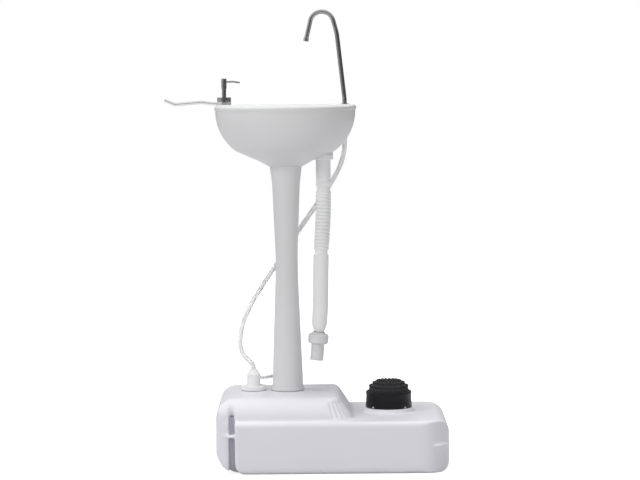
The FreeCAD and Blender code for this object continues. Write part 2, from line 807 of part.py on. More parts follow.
basin_cuts = combine("MultiFuse", "basin_cuts", [
    hollow,
    cylinder("socket_bore", "spigot_radius", "spigot_length + seat_gap", *AXIS, "column_top_level"),
    cylinder("drain_bore", "drain_bore_radius", "2 * drain_boss_radius", "drain_x", "column_y",
             "drain_seat_level - drain_bore_radius"),
    cylinder("drain_face", "drain_boss_radius + washer_thickness", "drain_seat_level - column_top_level",
             "drain_x", "column_y", "column_top_level"),
    cylinder("faucet_hole", "faucet_hole_radius", "3 * rim_thickness", "faucet_x", "fixture_y",
             "rim_level - 2 * rim_thickness"),
    cylinder("soap_hole", "soap_hole_radius", "3 * rim_thickness", "soap_x", "fixture_y",
             "rim_level - 2 * rim_thickness"),
])
node(combine("Cut", "basin", [basin_solid, basin_cuts]), "basin")

# Drain: strainer clamped through the bowl floor, then tail piece, ribbed hose, cuff and threaded end
DRAIN = ("drain_x", "column_y")
strainer_blank = turned("strainer_blank", [
    ("strainer_bore", "nut_middle"),
    ("drain_bore_radius - slip", "nut_middle"),
    ("drain_bore_radius - slip", "bowl_floor_level"),
    ("strainer_radius", "bowl_floor_level"),
    ("strainer_radius", "bowl_floor_level + strainer_lip"),
    ("strainer_bore", "bowl_floor_level + strainer_lip"),
], *DRAIN)
grate = cylinder("grate", "strainer_bore + slip", "strainer_lip", *DRAIN, "bowl_floor_level - 2 * strainer_lip")
grate_holes = [cylinder("grate_hole", "grate_hole_radius", "6 * strainer_lip", *DRAIN,
                        "bowl_floor_level - 4 * strainer_lip")]
for index in range(6):
    turn = math.radians(60 * index)
    grate_holes.append(cylinder(
        "grate_hole_%d" % index, "grate_hole_radius", "6 * strainer_lip",
        "drain_x + grate_ring * %.4f" % math.cos(turn), "column_y + grate_ring * %.4f" % math.sin(turn),
        "bowl_floor_level - 4 * strainer_lip"))
strainer_solid = combine("MultiFuse", "strainer_solid", [strainer_blank, grate])
node(combine("Cut", "drain_strainer", [strainer_solid, combine("MultiFuse", "grate_cuts", grate_holes)]),
     "drain_strainer")
node(turned("drain_gasket", [
    ("drain_bore_radius", "drain_seat_level - gasket_thickness"),
    ("drain_boss_radius", "drain_seat_level - gasket_thickness"),
    ("drain_boss_radius", "drain_seat_level"),
    ("drain_bore_radius", "drain_seat_level"),
], *DRAIN), "drain_gasket")
node(turned("drain_nut", [
    ("drain_bore_radius", "nut_bottom"),
    ("drain_boss_radius - nut_edge", "nut_bottom"),
    ("drain_boss_radius", "nut_bottom + nut_edge"),
    ("drain_boss_radius", "drain_seat_level - gasket_thickness"),
    ("drain_bore_radius", "drain_seat_level - gasket_thickness"),
], *DRAIN), "drain_nut")
node(turned("tail_piece", [
    ("tail_bore", "hose_top"),
    ("tail_end_radius", "hose_top"),
    ("tail_end_radius", "hose_top + tail_end_length"),
    ("tail_radius", "hose_top + tail_end_length + tail_taper"),
    ("tail_radius", "nut_bottom - slip"),
    ("drain_bore_radius - slip", "nut_bottom - slip"),
    ("drain_bore_radius - slip", "nut_middle"),
    ("tail_bore", "nut_middle"),
], *DRAIN), "tail_piece")

# The hose hangs nearly straight: each stretch starts and ends at a point and a lean
HOSE_TOP = Vector(size("drain_x"), size("column_y"), size("hose_top"))
HOSE_JOIN = HOSE_TOP + Vector(size("ribbed_shift"), 0, -size("ribbed_drop"))
HOSE_FOOT = HOSE_JOIN + Vector(size("cuff_shift"), 0, -size("cuff_drop"))
PLUMB = Vector(0, 0, -1)
JOIN_LEAN = Vector(-0.03, 0, -1)
FOOT_LEAN = Vector(-0.087, 0, -1)


def station(start, start_lean, end, end_lean, share):
    """A point and direction at a share of the way along a gently bending stretch."""
    span = (end - start).Length
    tangent_in, tangent_out = start_lean.normalize() * span, end_lean.normalize() * span
    a, b = share * share, share * share * share
    point = (start * (2 * b - 3 * a + 1) + tangent_in * (b - 2 * a + share)
             + end * (3 * a - 2 * b) + tangent_out * (b - a))
    slope = (start * (6 * a - 6 * share) + tangent_in * (3 * a - 4 * share + 1)
             + end * (6 * share - 6 * a) + tangent_out * (3 * a - 2 * share))
    return point, slope.normalize()


def ring(point, direction, radius):
    """A circle across a hose, with its seam on one steady side."""
    across = Vector(1, 0, 0) - direction * direction.x
    frame = FreeCAD.Rotation(across, direction.cross(across), direction, "ZXY")
    edge = Part.Circle(Vector(), Vector(0, 0, 1), radius).toShape()
    edge.Placement = FreeCAD.Placement(point, frame)
    return Part.Wire([edge])


def hose(name, ends, rings, bore):
    """A closed tube lofted straight from ring to ring, with a bore along it."""
    outside = [ring(*station(*ends, share), radius) for share, radius in rings]
    inside = [ring(*station(*ends, share), bore) for share in (0, 0.25, 0.5, 0.75, 1)]
    shell = Part.makeLoft(outside, True, True).cut(Part.makeLoft(inside, True, True))
    item = doc.addObject("Part::Feature", name)
    item.Shape = shell
    return node(item, name)


ribs = int(size("rib_count"))
straight = size("hose_radius") * 2 / (HOSE_JOIN - HOSE_TOP).Length / 2
rings = [(0, size("hose_root_radius"))]
for index in range(ribs):
    for part_of_rib, radius in ((0.1, "hose_root_radius"), (0.35, "hose_radius"), (0.7, "hose_radius"),
                                (0.95, "hose_root_radius")):
        rings.append((straight + (1 - 2 * straight) * (index + part_of_rib) / ribs, size(radius)))
rings.append((1, size("hose_root_radius")))
hose("drain_hose", (HOSE_TOP, PLUMB, HOSE_JOIN, JOIN_LEAN), rings, size("hose_bore"))
cuff_rings = [(0, size("hose_root_radius")), (0.02, size("cuff_radius"))]
cuff_rings += [(share / 8, size("cuff_radius")) for share in range(1, 8)]
cuff_rings += [(0.97, size("cuff_radius")), (1, size("hose_root_radius"))]
hose("hose_cuff", (HOSE_JOIN, JOIN_LEAN, HOSE_FOOT, FOOT_LEAN), cuff_rings, size("hose_bore"))
hose_end = turned("hose_end", [
    ("hose_bore", "-nipple_length - flange_length"),
    ("nipple_radius", "-nipple_length - flange_length"),
    ("nipple_radius", "-flange_length"),
    ("flange_radius - flange_edge", "-flange_length"),
    ("flange_radius", "flange_edge - flange_length"),
    ("flange_radius", "-flange_neck - flange_edge"),
    ("flange_radius - flange_edge", "-flange_neck"),
    ("hose_root_radius", "-flange_neck"),
    ("hose_root_radius", "0"),
    ("hose_bore", "0"),
])
hose_end.Placement = FreeCAD.Placement(HOSE_FOOT, FreeCAD.Rotation(PLUMB, FOOT_LEAN))
node(hose_end, "hose_end")

# Bent tubes: straight runs joined by tangent arcs


def bent_path(points, radii):
    """A wire through points, each inner corner rounded by its radius."""
    edges = []
    last = points[0]
    for i in range(1, len(points) - 1):
        back = (points[i - 1] - points[i]).normalize()
        ahead = (points[i + 1] - points[i]).normalize()
        half_angle = back.getAngle(ahead) / 2
        reach = radii[i - 1] / math.tan(half_angle)
        start, end = points[i] + back * reach, points[i] + ahead * reach
        inward = (back + ahead).normalize()
        middle = points[i] + inward * (radii[i - 1] / math.sin(half_angle) - radii[i - 1])
        if (start - last).Length > 1e-6:
            edges.append(Part.LineSegment(last, start).toShape())
        edges.append(Part.Arc(start, middle, end).toShape())
        last = end
    edges.append(Part.LineSegment(last, points[-1]).toShape())
    return Part.Wire(edges)


def sweep(path, radius):
    """A round bar along a path."""
    first = path.Edges[0]
    begin = first.valueAt(first.FirstParameter)
    section = Part.Wire([Part.Circle(begin, first.tangentAt(first.FirstParameter), radius).toShape()])
    return path.makePipeShell([section], True, False)


def piece(name, shape):
    """A sub-part whose solid is made by a sweep or loft."""
    item = doc.addObject("Part::Feature", name)
    item.Shape = shape
    return node(item, name)


# Faucet: a bent tube that turns in a shank clamped through the deck
FAUCET = ("faucet_x", "fixture_y")
UNDER_DECK = "rim_level - rim_thickness"
faucet_x, fixture_y = size("faucet_x"), size("fixture_y")
FAUCET_ROUTE = [
    ("0", "-faucet_foot_drop"),
    ("0", "faucet_bend_height"),
    ("faucet_knee_reach", "faucet_knee_height"),
    ("faucet_crest_start", "faucet_height"),
    ("faucet_crest_end", "faucet_height"),
    ("faucet_mouth_reach", "faucet_mouth_height"),
]
FAUCET_BENDS = ["faucet_foot_bend", "faucet_knee_bend", "faucet_crest_bend", "faucet_crest_bend"]
route = [Vector(faucet_x + size(x), fixture_y, size("rim_level + " + z)) for x, z in FAUCET_ROUTE]
path = bent_path(route, [size(bend) for bend in FAUCET_BENDS])
piece("faucet_tube", sweep(path, size("faucet_radius")).cut(sweep(path, size("faucet_bore"))))
outlet = turned("faucet_outlet", [
    ("faucet_bore", "0"),
    ("faucet_radius", "0"),
    ("faucet_outlet_radius", "faucet_outlet_radius - faucet_radius"),
    ("faucet_outlet_radius", "faucet_outlet_length"),
    ("faucet_bore", "faucet_outlet_length"),
])
outlet.Placement = FreeCAD.Placement(route[-1], FreeCAD.Rotation(Vector(0, 0, 1), route[-1] - route[-2]))
node(outlet, "faucet_outlet")
node(turned("faucet_shank", [
    ("faucet_bore", "shank_bottom"),
    ("faucet_hole_radius - slip", "shank_bottom"),
    ("faucet_hole_radius - slip", "rim_level"),
    ("shank_flange_radius", "rim_level"),
    ("shank_flange_radius", "rim_level + shank_flange_height"),
    ("faucet_radius + slip", "rim_level + shank_flange_height"),
    ("faucet_radius + slip", "faucet_foot - slip"),
    ("faucet_bore", "faucet_foot - slip"),
], *FAUCET), "faucet_shank")
node(turned("faucet_washer", [
    ("faucet_hole_radius", UNDER_DECK + " - washer_thickness"),
    ("faucet_nut_radius", UNDER_DECK + " - washer_thickness"),
    ("faucet_nut_radius", UNDER_DECK),
    ("faucet_hole_radius", UNDER_DECK),
], *FAUCET), "faucet_washer")
NUT_TOP = UNDER_DECK + " - washer_thickness"


def hex_corners(radius):
    """Six corners of a nut, as parts of its radius."""
    return [("%s * %.6f" % (radius, math.cos(math.radians(60 * i))),
             "%s * %.6f" % (radius, math.sin(math.radians(60 * i)))) for i in range(6)]


def hex_nut(name, radius, bore, height, x, y, top):
    """A six-sided nut hanging from its top face."""
    bottom = "%s - %s" % (top, height)
    blank = prism(name + "_blank", "XY", hex_corners(radius), height, (x, y, bottom))
    hole = cylinder(name + "_hole", bore, height, x, y, bottom)
    return node(combine("Cut", name, [blank, hole]), name)


hex_nut("faucet_nut", "faucet_nut_radius", "faucet_hole_radius", "faucet_nut_height", *FAUCET, NUT_TOP)
hex_nut("hose_nut", "hose_nut_radius", "faucet_bore", "hose_nut_height", *FAUCET, "shank_bottom")

# Soap pump: collar and bottle on the deck, with a sprung stem and a swivelling head
SOAP = ("soap_x", "fixture_y")
soap_x = size("soap_x")
EYE_TOP = "rim_level + eye_height + 2 * slip"
node(turned("soap_collar", [
    ("soap_hole_radius - slip - soap_neck_wall", "soap_neck_bottom"),
    ("soap_hole_radius - slip", "soap_neck_bottom"),
    ("soap_hole_radius - slip", EYE_TOP),
    ("eye_radius", EYE_TOP),
    ("eye_radius", "soap_top"),
    ("soap_stem_radius + slip", "soap_top"),
    ("soap_stem_radius + slip", "soap_stem_foot + soap_piston_height + seat_gap"),
    ("soap_hole_radius - slip - soap_neck_wall", "soap_stem_foot + soap_piston_height + seat_gap"),
], *SOAP), "soap_collar")
hex_nut("soap_nut", "soap_nut_radius", "soap_hole_radius", "soap_nut_height", *SOAP, UNDER_DECK)
BOTTLE_TOP = UNDER_DECK + " - soap_nut_height - seat_gap"
node(turned("soap_bottle", [
    ("0", "soap_bottle_bottom"),
    ("soap_bottle_radius", "soap_bottle_bottom", "soap_bottle_wall"),
    ("soap_bottle_radius", BOTTLE_TOP),
    ("soap_hole_radius", BOTTLE_TOP),
    ("soap_hole_radius", "soap_neck_bottom - soap_ledge"),
    ("soap_bottle_radius - soap_bottle_wall", "soap_neck_bottom - 2 * soap_ledge"),
    ("soap_bottle_radius - soap_bottle_wall", "soap_bottle_bottom + soap_bottle_wall"),
    ("0", "soap_bottle_bottom + soap_bottle_wall"),
], *SOAP), "soap_bottle")
node(turned("soap_tube", [
    ("soap_tube_radius - soap_ledge / 2", "soap_bottle_bottom + 2 * soap_bottle_wall"),
    ("soap_tube_radius", "soap_bottle_bottom + 2 * soap_bottle_wall"),
    ("soap_tube_radius", "soap_neck_bottom - soap_ledge"),
    ("soap_hole_radius - slip", "soap_neck_bottom - soap_ledge"),
    ("soap_hole_radius - slip", "soap_neck_bottom"),
    ("soap_tube_radius - soap_ledge / 2", "soap_neck_bottom"),
], *SOAP), "soap_tube")
node(turned("soap_stem", [
    ("0", "soap_stem_foot"),
    ("soap_hole_radius - soap_neck_wall - 3 * slip", "soap_stem_foot"),
    ("soap_hole_radius - soap_neck_wall - 3 * slip", "soap_stem_foot + soap_piston_height"),
    ("soap_stem_radius", "soap_stem_foot + soap_piston_height"),
    ("soap_stem_radius", "soap_head_bottom + soap_head_depth - slip"),
    ("0", "soap_head_bottom + soap_head_depth - slip"),
], *SOAP), "soap_stem")
head_blank = turned("head_blank", [
    ("soap_stem_radius + slip", "soap_head_bottom"),
    ("soap_head_radius", "soap_head_bottom"),
    ("soap_head_radius", "soap_head_top", "soap_ledge"),
    ("0", "soap_head_top"),
    ("0", "soap_head_bottom + soap_head_depth"),
    ("soap_stem_radius + slip", "soap_head_bottom + soap_head_depth"),
], *SOAP)
NOZZLE_ROUTE = [("nozzle_root", "0"), ("nozzle_bow_reach", "nozzle_bow_rise"), ("nozzle_reach", "-nozzle_tip_drop")]
nozzle_points = [Vector(size("soap_x + " + x), fixture_y, size("nozzle_level + " + z)) for x, z in NOZZLE_ROUTE]
nozzle = doc.addObject("Part::Feature", "nozzle")
nozzle.Shape = sweep(bent_path(nozzle_points, [size("nozzle_bend")]), size("nozzle_radius"))
node(combine("MultiFuse", "soap_head", [head_blank, nozzle]), "soap_head")


def coil(name, x, y, bottom, top, radius, wire, turns):
    """An upright spring of round wire: one unbroken tube on quarter-turn arcs."""
    step = 90
    count = int(turns * 360 / step)
    rise = (top - bottom - wire) / count
    spots = []
    for i in range(2 * count + 1):
        turn = math.radians(i * step / 2)
        spots.append(Vector(x + radius * math.cos(turn), y + radius * math.sin(turn),
                            bottom + wire / 2 + rise * i / 2))
    arcs = [Part.Arc(*spots[2 * i:2 * i + 3]).toShape() for i in range(count)]
    print(name, "least gap between turns %.2f mm" % (rise * 360 / step - wire))
    return piece(name, sweep(Part.Wire(arcs), wire / 2))


coil("soap_spring", soap_x, fixture_y, size("soap_neck_bottom + seat_gap"), size("soap_stem_foot - seat_gap"),
     size("soap_spring_radius"), size("soap_spring_wire"), size("soap_spring_turns"))

# Towel bar: a bent rod on an eye that turns about the soap pump's neck
eye = turned("towel_eye", [
    ("soap_hole_radius + slip", "rim_level + slip"),
    ("eye_radius", "rim_level + slip"),
    ("eye_radius", "rim_level + slip + eye_height"),
    ("soap_hole_radius + slip", "rim_level + slip + eye_height"),
], *SOAP)
TOWEL_ROUTE = [
    ("towel_root", "0"),
    ("towel_straight", "0"),
    ("towel_bow_reach", "towel_bow_rise"),
    ("towel_hook_reach", "-towel_hook_dip"),
    ("towel_tip_reach", "towel_tip_rise"),
]
TOWEL_BENDS = [size("towel_bend"), size("towel_bow_bend"), size("towel_hook_bend")]
EYE_MIDDLE = "rim_level + slip + eye_height / 2"
rod_points = [Vector(size("soap_x - " + x), fixture_y, size(EYE_MIDDLE + " + " + z)) for x, z in TOWEL_ROUTE]
rod = doc.addObject("Part::Feature", "towel_rod")
rod.Shape = sweep(bent_path(rod_points, TOWEL_BENDS), size("towel_radius"))
node(combine("MultiFuse", "towel_bar", [eye, rod]), "towel_bar")

# Filler cap: a ribbed ring nut that clamps the hose fitting on the tank's neck
CAP = ("cap_x", "cap_y")
NECK_TOP = "high_height + neck_height"
FLANGE_FOOT = NECK_TOP + " + cap_gasket_thickness"
FLANGE_TOP = FLANGE_FOOT + " + cap_flange_thickness"
node(turned("cap_gasket", [
    ("mouth_radius", NECK_TOP),
    ("cap_flange_radius", NECK_TOP),
    ("cap_flange_radius", FLANGE_FOOT),
    ("mouth_radius", FLANGE_FOOT),
], *CAP), "cap_gasket")
node(turned("cap_fitting", [
    ("stem_bore", FLANGE_FOOT),
    ("cap_flange_radius", FLANGE_FOOT),
    ("cap_flange_radius", FLANGE_TOP),
    ("stem_radius", FLANGE_TOP),
    ("stem_radius", "stem_top"),
    ("stem_bore", "stem_top"),
], *CAP), "cap_fitting")
cap_blank = turned("cap_blank", [
    ("neck_radius + seat_gap", "high_height + seat_gap"),
    ("cap_radius", "high_height + seat_gap"),
    ("cap_radius", "cap_top", "cap_edge"),
    ("stem_radius + slip", "cap_top"),
    ("stem_radius + slip", FLANGE_TOP + " + seat_gap"),
    ("neck_radius + seat_gap", FLANGE_TOP + " + seat_gap"),
], *CAP)
grooves = []
for index in range(int(size("cap_rib_count"))):
    turn = math.radians(360 * index / size("cap_rib_count"))
    grooves.append(cylinder(
        "cap_groove_%d" % index, "cap_rib_radius", "cap_top - high_height",
        "cap_x + (cap_radius + cap_rib_radius / 2) * %.5f" % math.cos(turn),
        "cap_y + (cap_radius + cap_rib_radius / 2) * %.5f" % math.sin(turn), "high_height"))
node(combine("Cut", "filler_cap", [cap_blank, combine("MultiFuse", "cap_grooves", grooves)]), "filler_cap")
fitting_blank = turned("fitting_blank", [
    ("stem_radius", "fitting_bottom"),
    ("fitting_radius", "fitting_bottom"),
    ("fitting_radius", "fitting_shoulder", "cap_edge"),
    ("fitting_cone_radius", "fitting_top"),
    ("stem_bore", "fitting_top"),
    ("stem_bore", "stem_top"),
    ("stem_radius", "stem_top"),
], *CAP)
port = cylinder("side_port", "side_port_radius", "side_port_reach - stem_radius - cap_edge",
                "cap_x + stem_radius + cap_edge", "cap_y", "side_port_level")
port.Placement.Rotation = FreeCAD.Rotation(Vector(0, 1, 0), 90)
node(combine("MultiFuse", "fitting_nut", [fitting_blank, port]), "fitting_nut")
node(turned("dip_tube", [
    ("stem_bore", "dip_bottom"),
    ("dip_radius", "dip_bottom"),
    ("dip_radius", FLANGE_FOOT),
    ("stem_bore", FLANGE_FOOT),
], *CAP), "dip_tube")
dip_cup = turned("dip_cup", [
    ("0", "tank_wall + seat_gap"),
    ("dip_strainer_radius", "tank_wall + seat_gap"),
    ("dip_strainer_radius", "tank_wall + dip_strainer_height"),
    ("dip_radius", "tank_wall + dip_strainer_height"),
    ("dip_radius", "tank_wall + dip_strainer_height - dip_strainer_wall"),
    ("dip_strainer_radius - dip_strainer_wall", "tank_wall + dip_strainer_height - dip_strainer_wall"),
    ("dip_strainer_radius - dip_strainer_wall", "tank_wall + 2 * dip_strainer_wall"),
    ("0", "tank_wall + 2 * dip_strainer_wall"),
], *CAP)
slots = []
for index in range(int(size("dip_slot_count") / 2)):
    slot = block("dip_slot_%d" % index, "3 * dip_strainer_radius", "dip_slot_width", "dip_strainer_height / 2",
                 z="tank_wall + 2 * dip_strainer_wall")
    half_turn = FreeCAD.Rotation(Vector(0, 0, 1), 360 * index / size("dip_slot_count"))
    corner = half_turn.multVec(Vector(-size("1.5 * dip_strainer_radius"), -size("dip_slot_width / 2"), 0))
    place(slot, "cap_x + %.5f" % corner.x, "cap_y + %.5f" % corner.y)
    slot.Placement.Rotation = half_turn
    slots.append(slot)
node(combine("Cut", "dip_strainer", [dip_cup, combine("MultiFuse", "dip_slots", slots)]), "dip_strainer")
node(turned("air_barb", [
    ("barb_radius / 2", "high_height - tank_wall"),
    ("barb_bore_radius", "high_height - tank_wall"),
    ("barb_bore_radius", "high_height"),
    ("barb_base_radius", "high_height"),
    ("barb_base_radius", "high_height + barb_base_height"),
    ("air_hose_radius", "high_height + barb_base_height"),
    ("air_hose_radius", "barb_stem_top"),
    ("barb_radius / 2", "barb_stem_top"),
], "barb_x", "barb_y"), "air_barb")

# Foot pump: a cup on the tank's boss, a sprung tread that presses a bellows, and two flap valves
PUMP = ("pump_x", "pump_y")
SEAT = "low_height + pump_boss_height"
CUP_FOOT = SEAT + " + pump_gasket_thickness"
CUP_FLOOR = CUP_FOOT + " + pump_floor"
PLATE_TOP = CUP_FLOOR + " + valve_plate_thickness"


def around(name, count, ring_radius, build):
    """Pieces spread evenly round the pump's axis."""
    made = []
    for index in range(count):
        turn = math.radians(45 + 360 * index / count)
        made.append(build("%s_%d" % (name, index), "pump_x + (%s) * %.5f" % (ring_radius, math.cos(turn)),
                          "pump_y + (%s) * %.5f" % (ring_radius, math.sin(turn))))
    return made


node(turned("pump_gasket", [
    ("pump_radius - pump_gasket_width", SEAT),
    ("pump_radius", SEAT),
    ("pump_radius", CUP_FOOT),
    ("pump_radius - pump_gasket_width", CUP_FOOT),
], *PUMP), "pump_gasket")
cup = turned("pump_cup", [
    ("0", CUP_FOOT),
    ("pump_radius", CUP_FOOT),
    ("pump_radius", "pump_top - pump_bead_height"),
    ("pump_radius + pump_bead", "pump_top - pump_bead_height"),
    ("pump_radius + pump_bead", "pump_top"),
    ("pump_lip_radius", "pump_top"),
    ("pump_lip_radius", "pump_top - pump_lip_height"),
    ("pump_radius - pump_wall", "pump_top - pump_lip_height"),
    ("pump_radius - pump_wall", CUP_FLOOR),
    ("0", CUP_FLOOR),
], *PUMP)
cup_cuts = around("cup_screw_hole", 4, "screw_ring", lambda name, x, y: cylinder(
    name, "screw_radius + slip", "2 * pump_floor", x, y, CUP_FOOT + " - pump_floor / 2"))
cup_cuts += around("cup_screw_seat", 4, "screw_ring", lambda name, x, y: cylinder(
    name, "screw_head_radius + slip", "pump_floor", x, y, CUP_FLOOR + " - screw_head_height"))
cup_cuts.append(cylinder("cup_port", "port_radius", "2 * pump_floor", "pump_x + port_offset", "pump_y",
                         CUP_FOOT + " - pump_floor / 2"))
cup_cuts.append(cylinder("flap_seat", "flap_radius + seat_gap", "pump_floor", "pump_x + port_offset", "pump_y",
                         CUP_FLOOR + " - flap_thickness - slip"))
node(combine("Cut", "pump_base", [cup, combine("MultiFuse", "cup_cuts", cup_cuts)]), "pump_base")
heads = around("screw_head", 4, "screw_ring", lambda name, x, y: cylinder(
    name, "screw_head_radius", "screw_head_height", x, y, CUP_FLOOR + " - screw_head_height"))
shanks = around("screw_shank", 4, "screw_ring", lambda name, x, y: cylinder(
    name, "screw_radius", "screw_reach", x, y, CUP_FLOOR + " - screw_reach"))
node(combine("MultiFuse", "pump_screws", heads + shanks), "pump_screws")
plate = cylinder("plate_blank", "valve_plate_radius", "valve_plate_thickness", *PUMP, CUP_FLOOR)
plate_ports = [cylinder("plate_port_%d" % side, "port_radius", "3 * valve_plate_thickness",
                        "pump_x + %d * port_offset" % side, "pump_y", CUP_FLOOR + " - valve_plate_thickness")
               for side in (-1, 1)]
node(combine("Cut", "valve_plate", [plate, combine("MultiFuse", "plate_ports", plate_ports)]), "valve_plate")
node(cylinder("intake_flap", "flap_radius", "flap_thickness", "pump_x - port_offset", "pump_y", PLATE_TOP),
     "intake_flap")
node(cylinder("outlet_flap", "flap_radius", "flap_thickness", "pump_x + port_offset", "pump_y",
              CUP_FLOOR + " - flap_thickness"), "outlet_flap")
tread = turned("tread_shell", [
    ("tread_radius - tread_wall", "tread_bottom"),
    ("tread_flange_radius", "tread_bottom"),
    ("tread_flange_radius", "tread_bottom + tread_flange_height"),
    ("tread_radius", "tread_bottom + tread_flange_height"),
    ("tread_radius", "tread_shoulder_level", "", "tread_bulge"),
    ("tread_crown_radius", "tread_crown_level"),
    ("0", "tread_top"),
    ("0", "tread_top - tread_wall"),
    ("tread_crown_radius - tread_wall / 2", "tread_crown_level - tread_wall", "", "-tread_bulge"),
    ("tread_radius - tread_wall", "tread_shoulder_level - tread_wall / 2"),
], *PUMP)
nubs = [cylinder("nub", "nub_radius", "nub_height + tread_wall / 2", *PUMP, "tread_top - tread_wall / 2")]
for band in (1, 2, 3):
    drop = "(tread_top - tread_crown_level) * %d * nub_pitch / tread_crown_radius" % band
    nubs += around("nub_%d" % band, int(size("nub_ring_count")) * band, "%d * nub_pitch" % band,
                   lambda name, x, y: cylinder(name, "nub_radius", "nub_height + tread_wall / 2", x, y,
                                               "tread_top - tread_wall / 2 - " + drop))
node(combine("MultiFuse", "pump_tread", [tread] + nubs), "pump_tread")
folds = int(size("bellows_folds"))
fold_rise = "((tread_crown_level - tread_wall - seat_gap - (%s)) / (2 * bellows_folds))" % PLATE_TOP
zigzag = []
for index in range(2 * folds + 1):
    radius = "bellows_fold_radius" if index % 2 == 0 else "bellows_radius"
    zigzag.append((radius, "%s + %d * %s" % (PLATE_TOP, index, fold_rise)))
inner_zigzag = [("%s - bellows_wall" % radius, level) for radius, level in reversed(zigzag)]
node(turned("pump_bellows", zigzag + inner_zigzag, *PUMP), "pump_bellows")
coil("pump_spring", size("pump_x"), size("pump_y"), size(PLATE_TOP + " + flap_thickness + seat_gap"),
     size("tread_crown_level - seat_gap - tread_wall / 2"), size("pump_spring_radius"),
     size("pump_spring_wire"), size("pump_spring_turns"))

# Free hoses: routes chosen by hand from a start, in millimetres, each corner with the largest arc its runs allow
SUPPLY_START = Vector(size("column_x"), size("column_y"), 0)
SUPPLY_ROUTE = [
    (134, 88, 754), (134, 88, 728), (133, 87, 700), (123, 83, 664), (100, 77, 622), (66, 71, 574), (28, 64, 521),
    (-10, 55, 465), (-46, 43, 411), (-80, 27, 360), (-102, 11, 312), (-108, 2, 272), (-103, 0, 249),
    (-91, 0, 233), (-80, 0, 224), (-77, 0, 218), (-77, 0, 211),
]
AIR_START = Vector(size("cap_x"), size("cap_y"), size("high_height"))
AIR_ROUTE = [
    (19, 0, 29), (27, 0, 29), (34, 4, 29.5), (38.5, 13, 29.8), (43, 26, 29.5), (48, 38, 28), (52.5, 47.5, 25),
    (55, 55, 18.8), (55, 55, 9),
]


def free_hose(name, start, spots, radius):
    """A hose on its route, each arc 0.45 of the shorter run over the tangent of half the turn."""
    points = [start + Vector(*spot) for spot in spots]
    radii = []
    for i in range(1, len(points) - 1):
        before, after = points[i] - points[i - 1], points[i + 1] - points[i]
        half_turn = before.getAngle(after) / 2
        radii.append(0.45 * min(before.Length, after.Length) / math.tan(half_turn))
    route_wire = bent_path(points, radii)
    tube = sweep(route_wire, radius)
    share = tube.Volume / (math.pi * radius * radius * route_wire.Length)
    print(name, "length %.0f mm, volume share %.4f, least radius %.0f mm" % (route_wire.Length, share, min(radii)))
    return piece(name, tube)


free_hose("supply_hose", SUPPLY_START, SUPPLY_ROUTE, size("supply_radius"))
free_hose("air_hose", AIR_START, AIR_ROUTE, size("air_hose_radius"))

# Check every object, then write one file per sub-part
doc.recompute()
faults = [item.Name for item in doc.Objects if "Invalid" in item.State or "Error" in item.State]
for item in PARTS:
    if item.Shape.isNull() or not item.Shape.isValid() or not item.Shape.Solids:
        faults.append(item.Label)
if faults:
    raise RuntimeError("failed: " + ", ".join(faults))
os.makedirs("parts", exist_ok=True)
for item in PARTS:
    item.Shape.exportStep("parts/" + item.Label + ".step")
print(len(PARTS), "sub-parts written")
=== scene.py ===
# %% [markdown]
# A portable handwash station: a low water tank that stands on the floor, a waisted column, a D-shaped
# basin with a bent faucet, a soap pump and a towel bar, three hoses, and a black foot pump. The exact
# solids come packed from the drawing office as one frame, so this lesson never moves or resizes them.
# It gives them the skin that a moulder, a plater and a hose maker would give them, and then lights them
# as in a plain product picture.

# %% The frame
import json
import math

import bmesh
import bpy
from mathutils import Matrix, Vector

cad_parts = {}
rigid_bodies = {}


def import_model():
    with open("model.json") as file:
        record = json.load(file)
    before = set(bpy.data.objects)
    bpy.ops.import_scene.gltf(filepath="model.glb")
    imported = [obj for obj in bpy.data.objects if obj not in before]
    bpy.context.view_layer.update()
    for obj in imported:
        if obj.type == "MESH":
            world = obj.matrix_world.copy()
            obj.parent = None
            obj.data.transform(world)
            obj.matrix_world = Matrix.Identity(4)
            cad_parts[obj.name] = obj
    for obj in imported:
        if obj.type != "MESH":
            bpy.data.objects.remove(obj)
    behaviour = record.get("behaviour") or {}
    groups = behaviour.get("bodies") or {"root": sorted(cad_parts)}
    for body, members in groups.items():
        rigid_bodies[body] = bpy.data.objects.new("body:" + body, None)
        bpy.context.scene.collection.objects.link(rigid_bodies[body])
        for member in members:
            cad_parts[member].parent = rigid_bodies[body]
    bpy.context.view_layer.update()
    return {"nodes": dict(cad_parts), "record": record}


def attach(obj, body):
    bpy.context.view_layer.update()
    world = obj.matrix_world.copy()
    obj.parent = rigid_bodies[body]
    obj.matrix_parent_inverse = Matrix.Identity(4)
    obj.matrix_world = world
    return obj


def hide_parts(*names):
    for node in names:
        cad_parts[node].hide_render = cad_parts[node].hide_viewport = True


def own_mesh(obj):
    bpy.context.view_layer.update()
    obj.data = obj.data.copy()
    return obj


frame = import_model()
nodes = frame["nodes"]
MM = 0.001
scene = bpy.context.scene
scene.view_settings.view_transform = "Standard"


# %% [markdown]
# The camera comes first. The picture was taken from about five and a half metres away with a long lens,
# a little above the rim of the basin, so the rim is seen almost edge on while the top of the tank is
# seen from above. The camera was held very slightly turned. Its place could be found by eye, but here
# it was fitted to the outline of the object, and the lens is written in pixels of the picture, as it
# came from that fit.

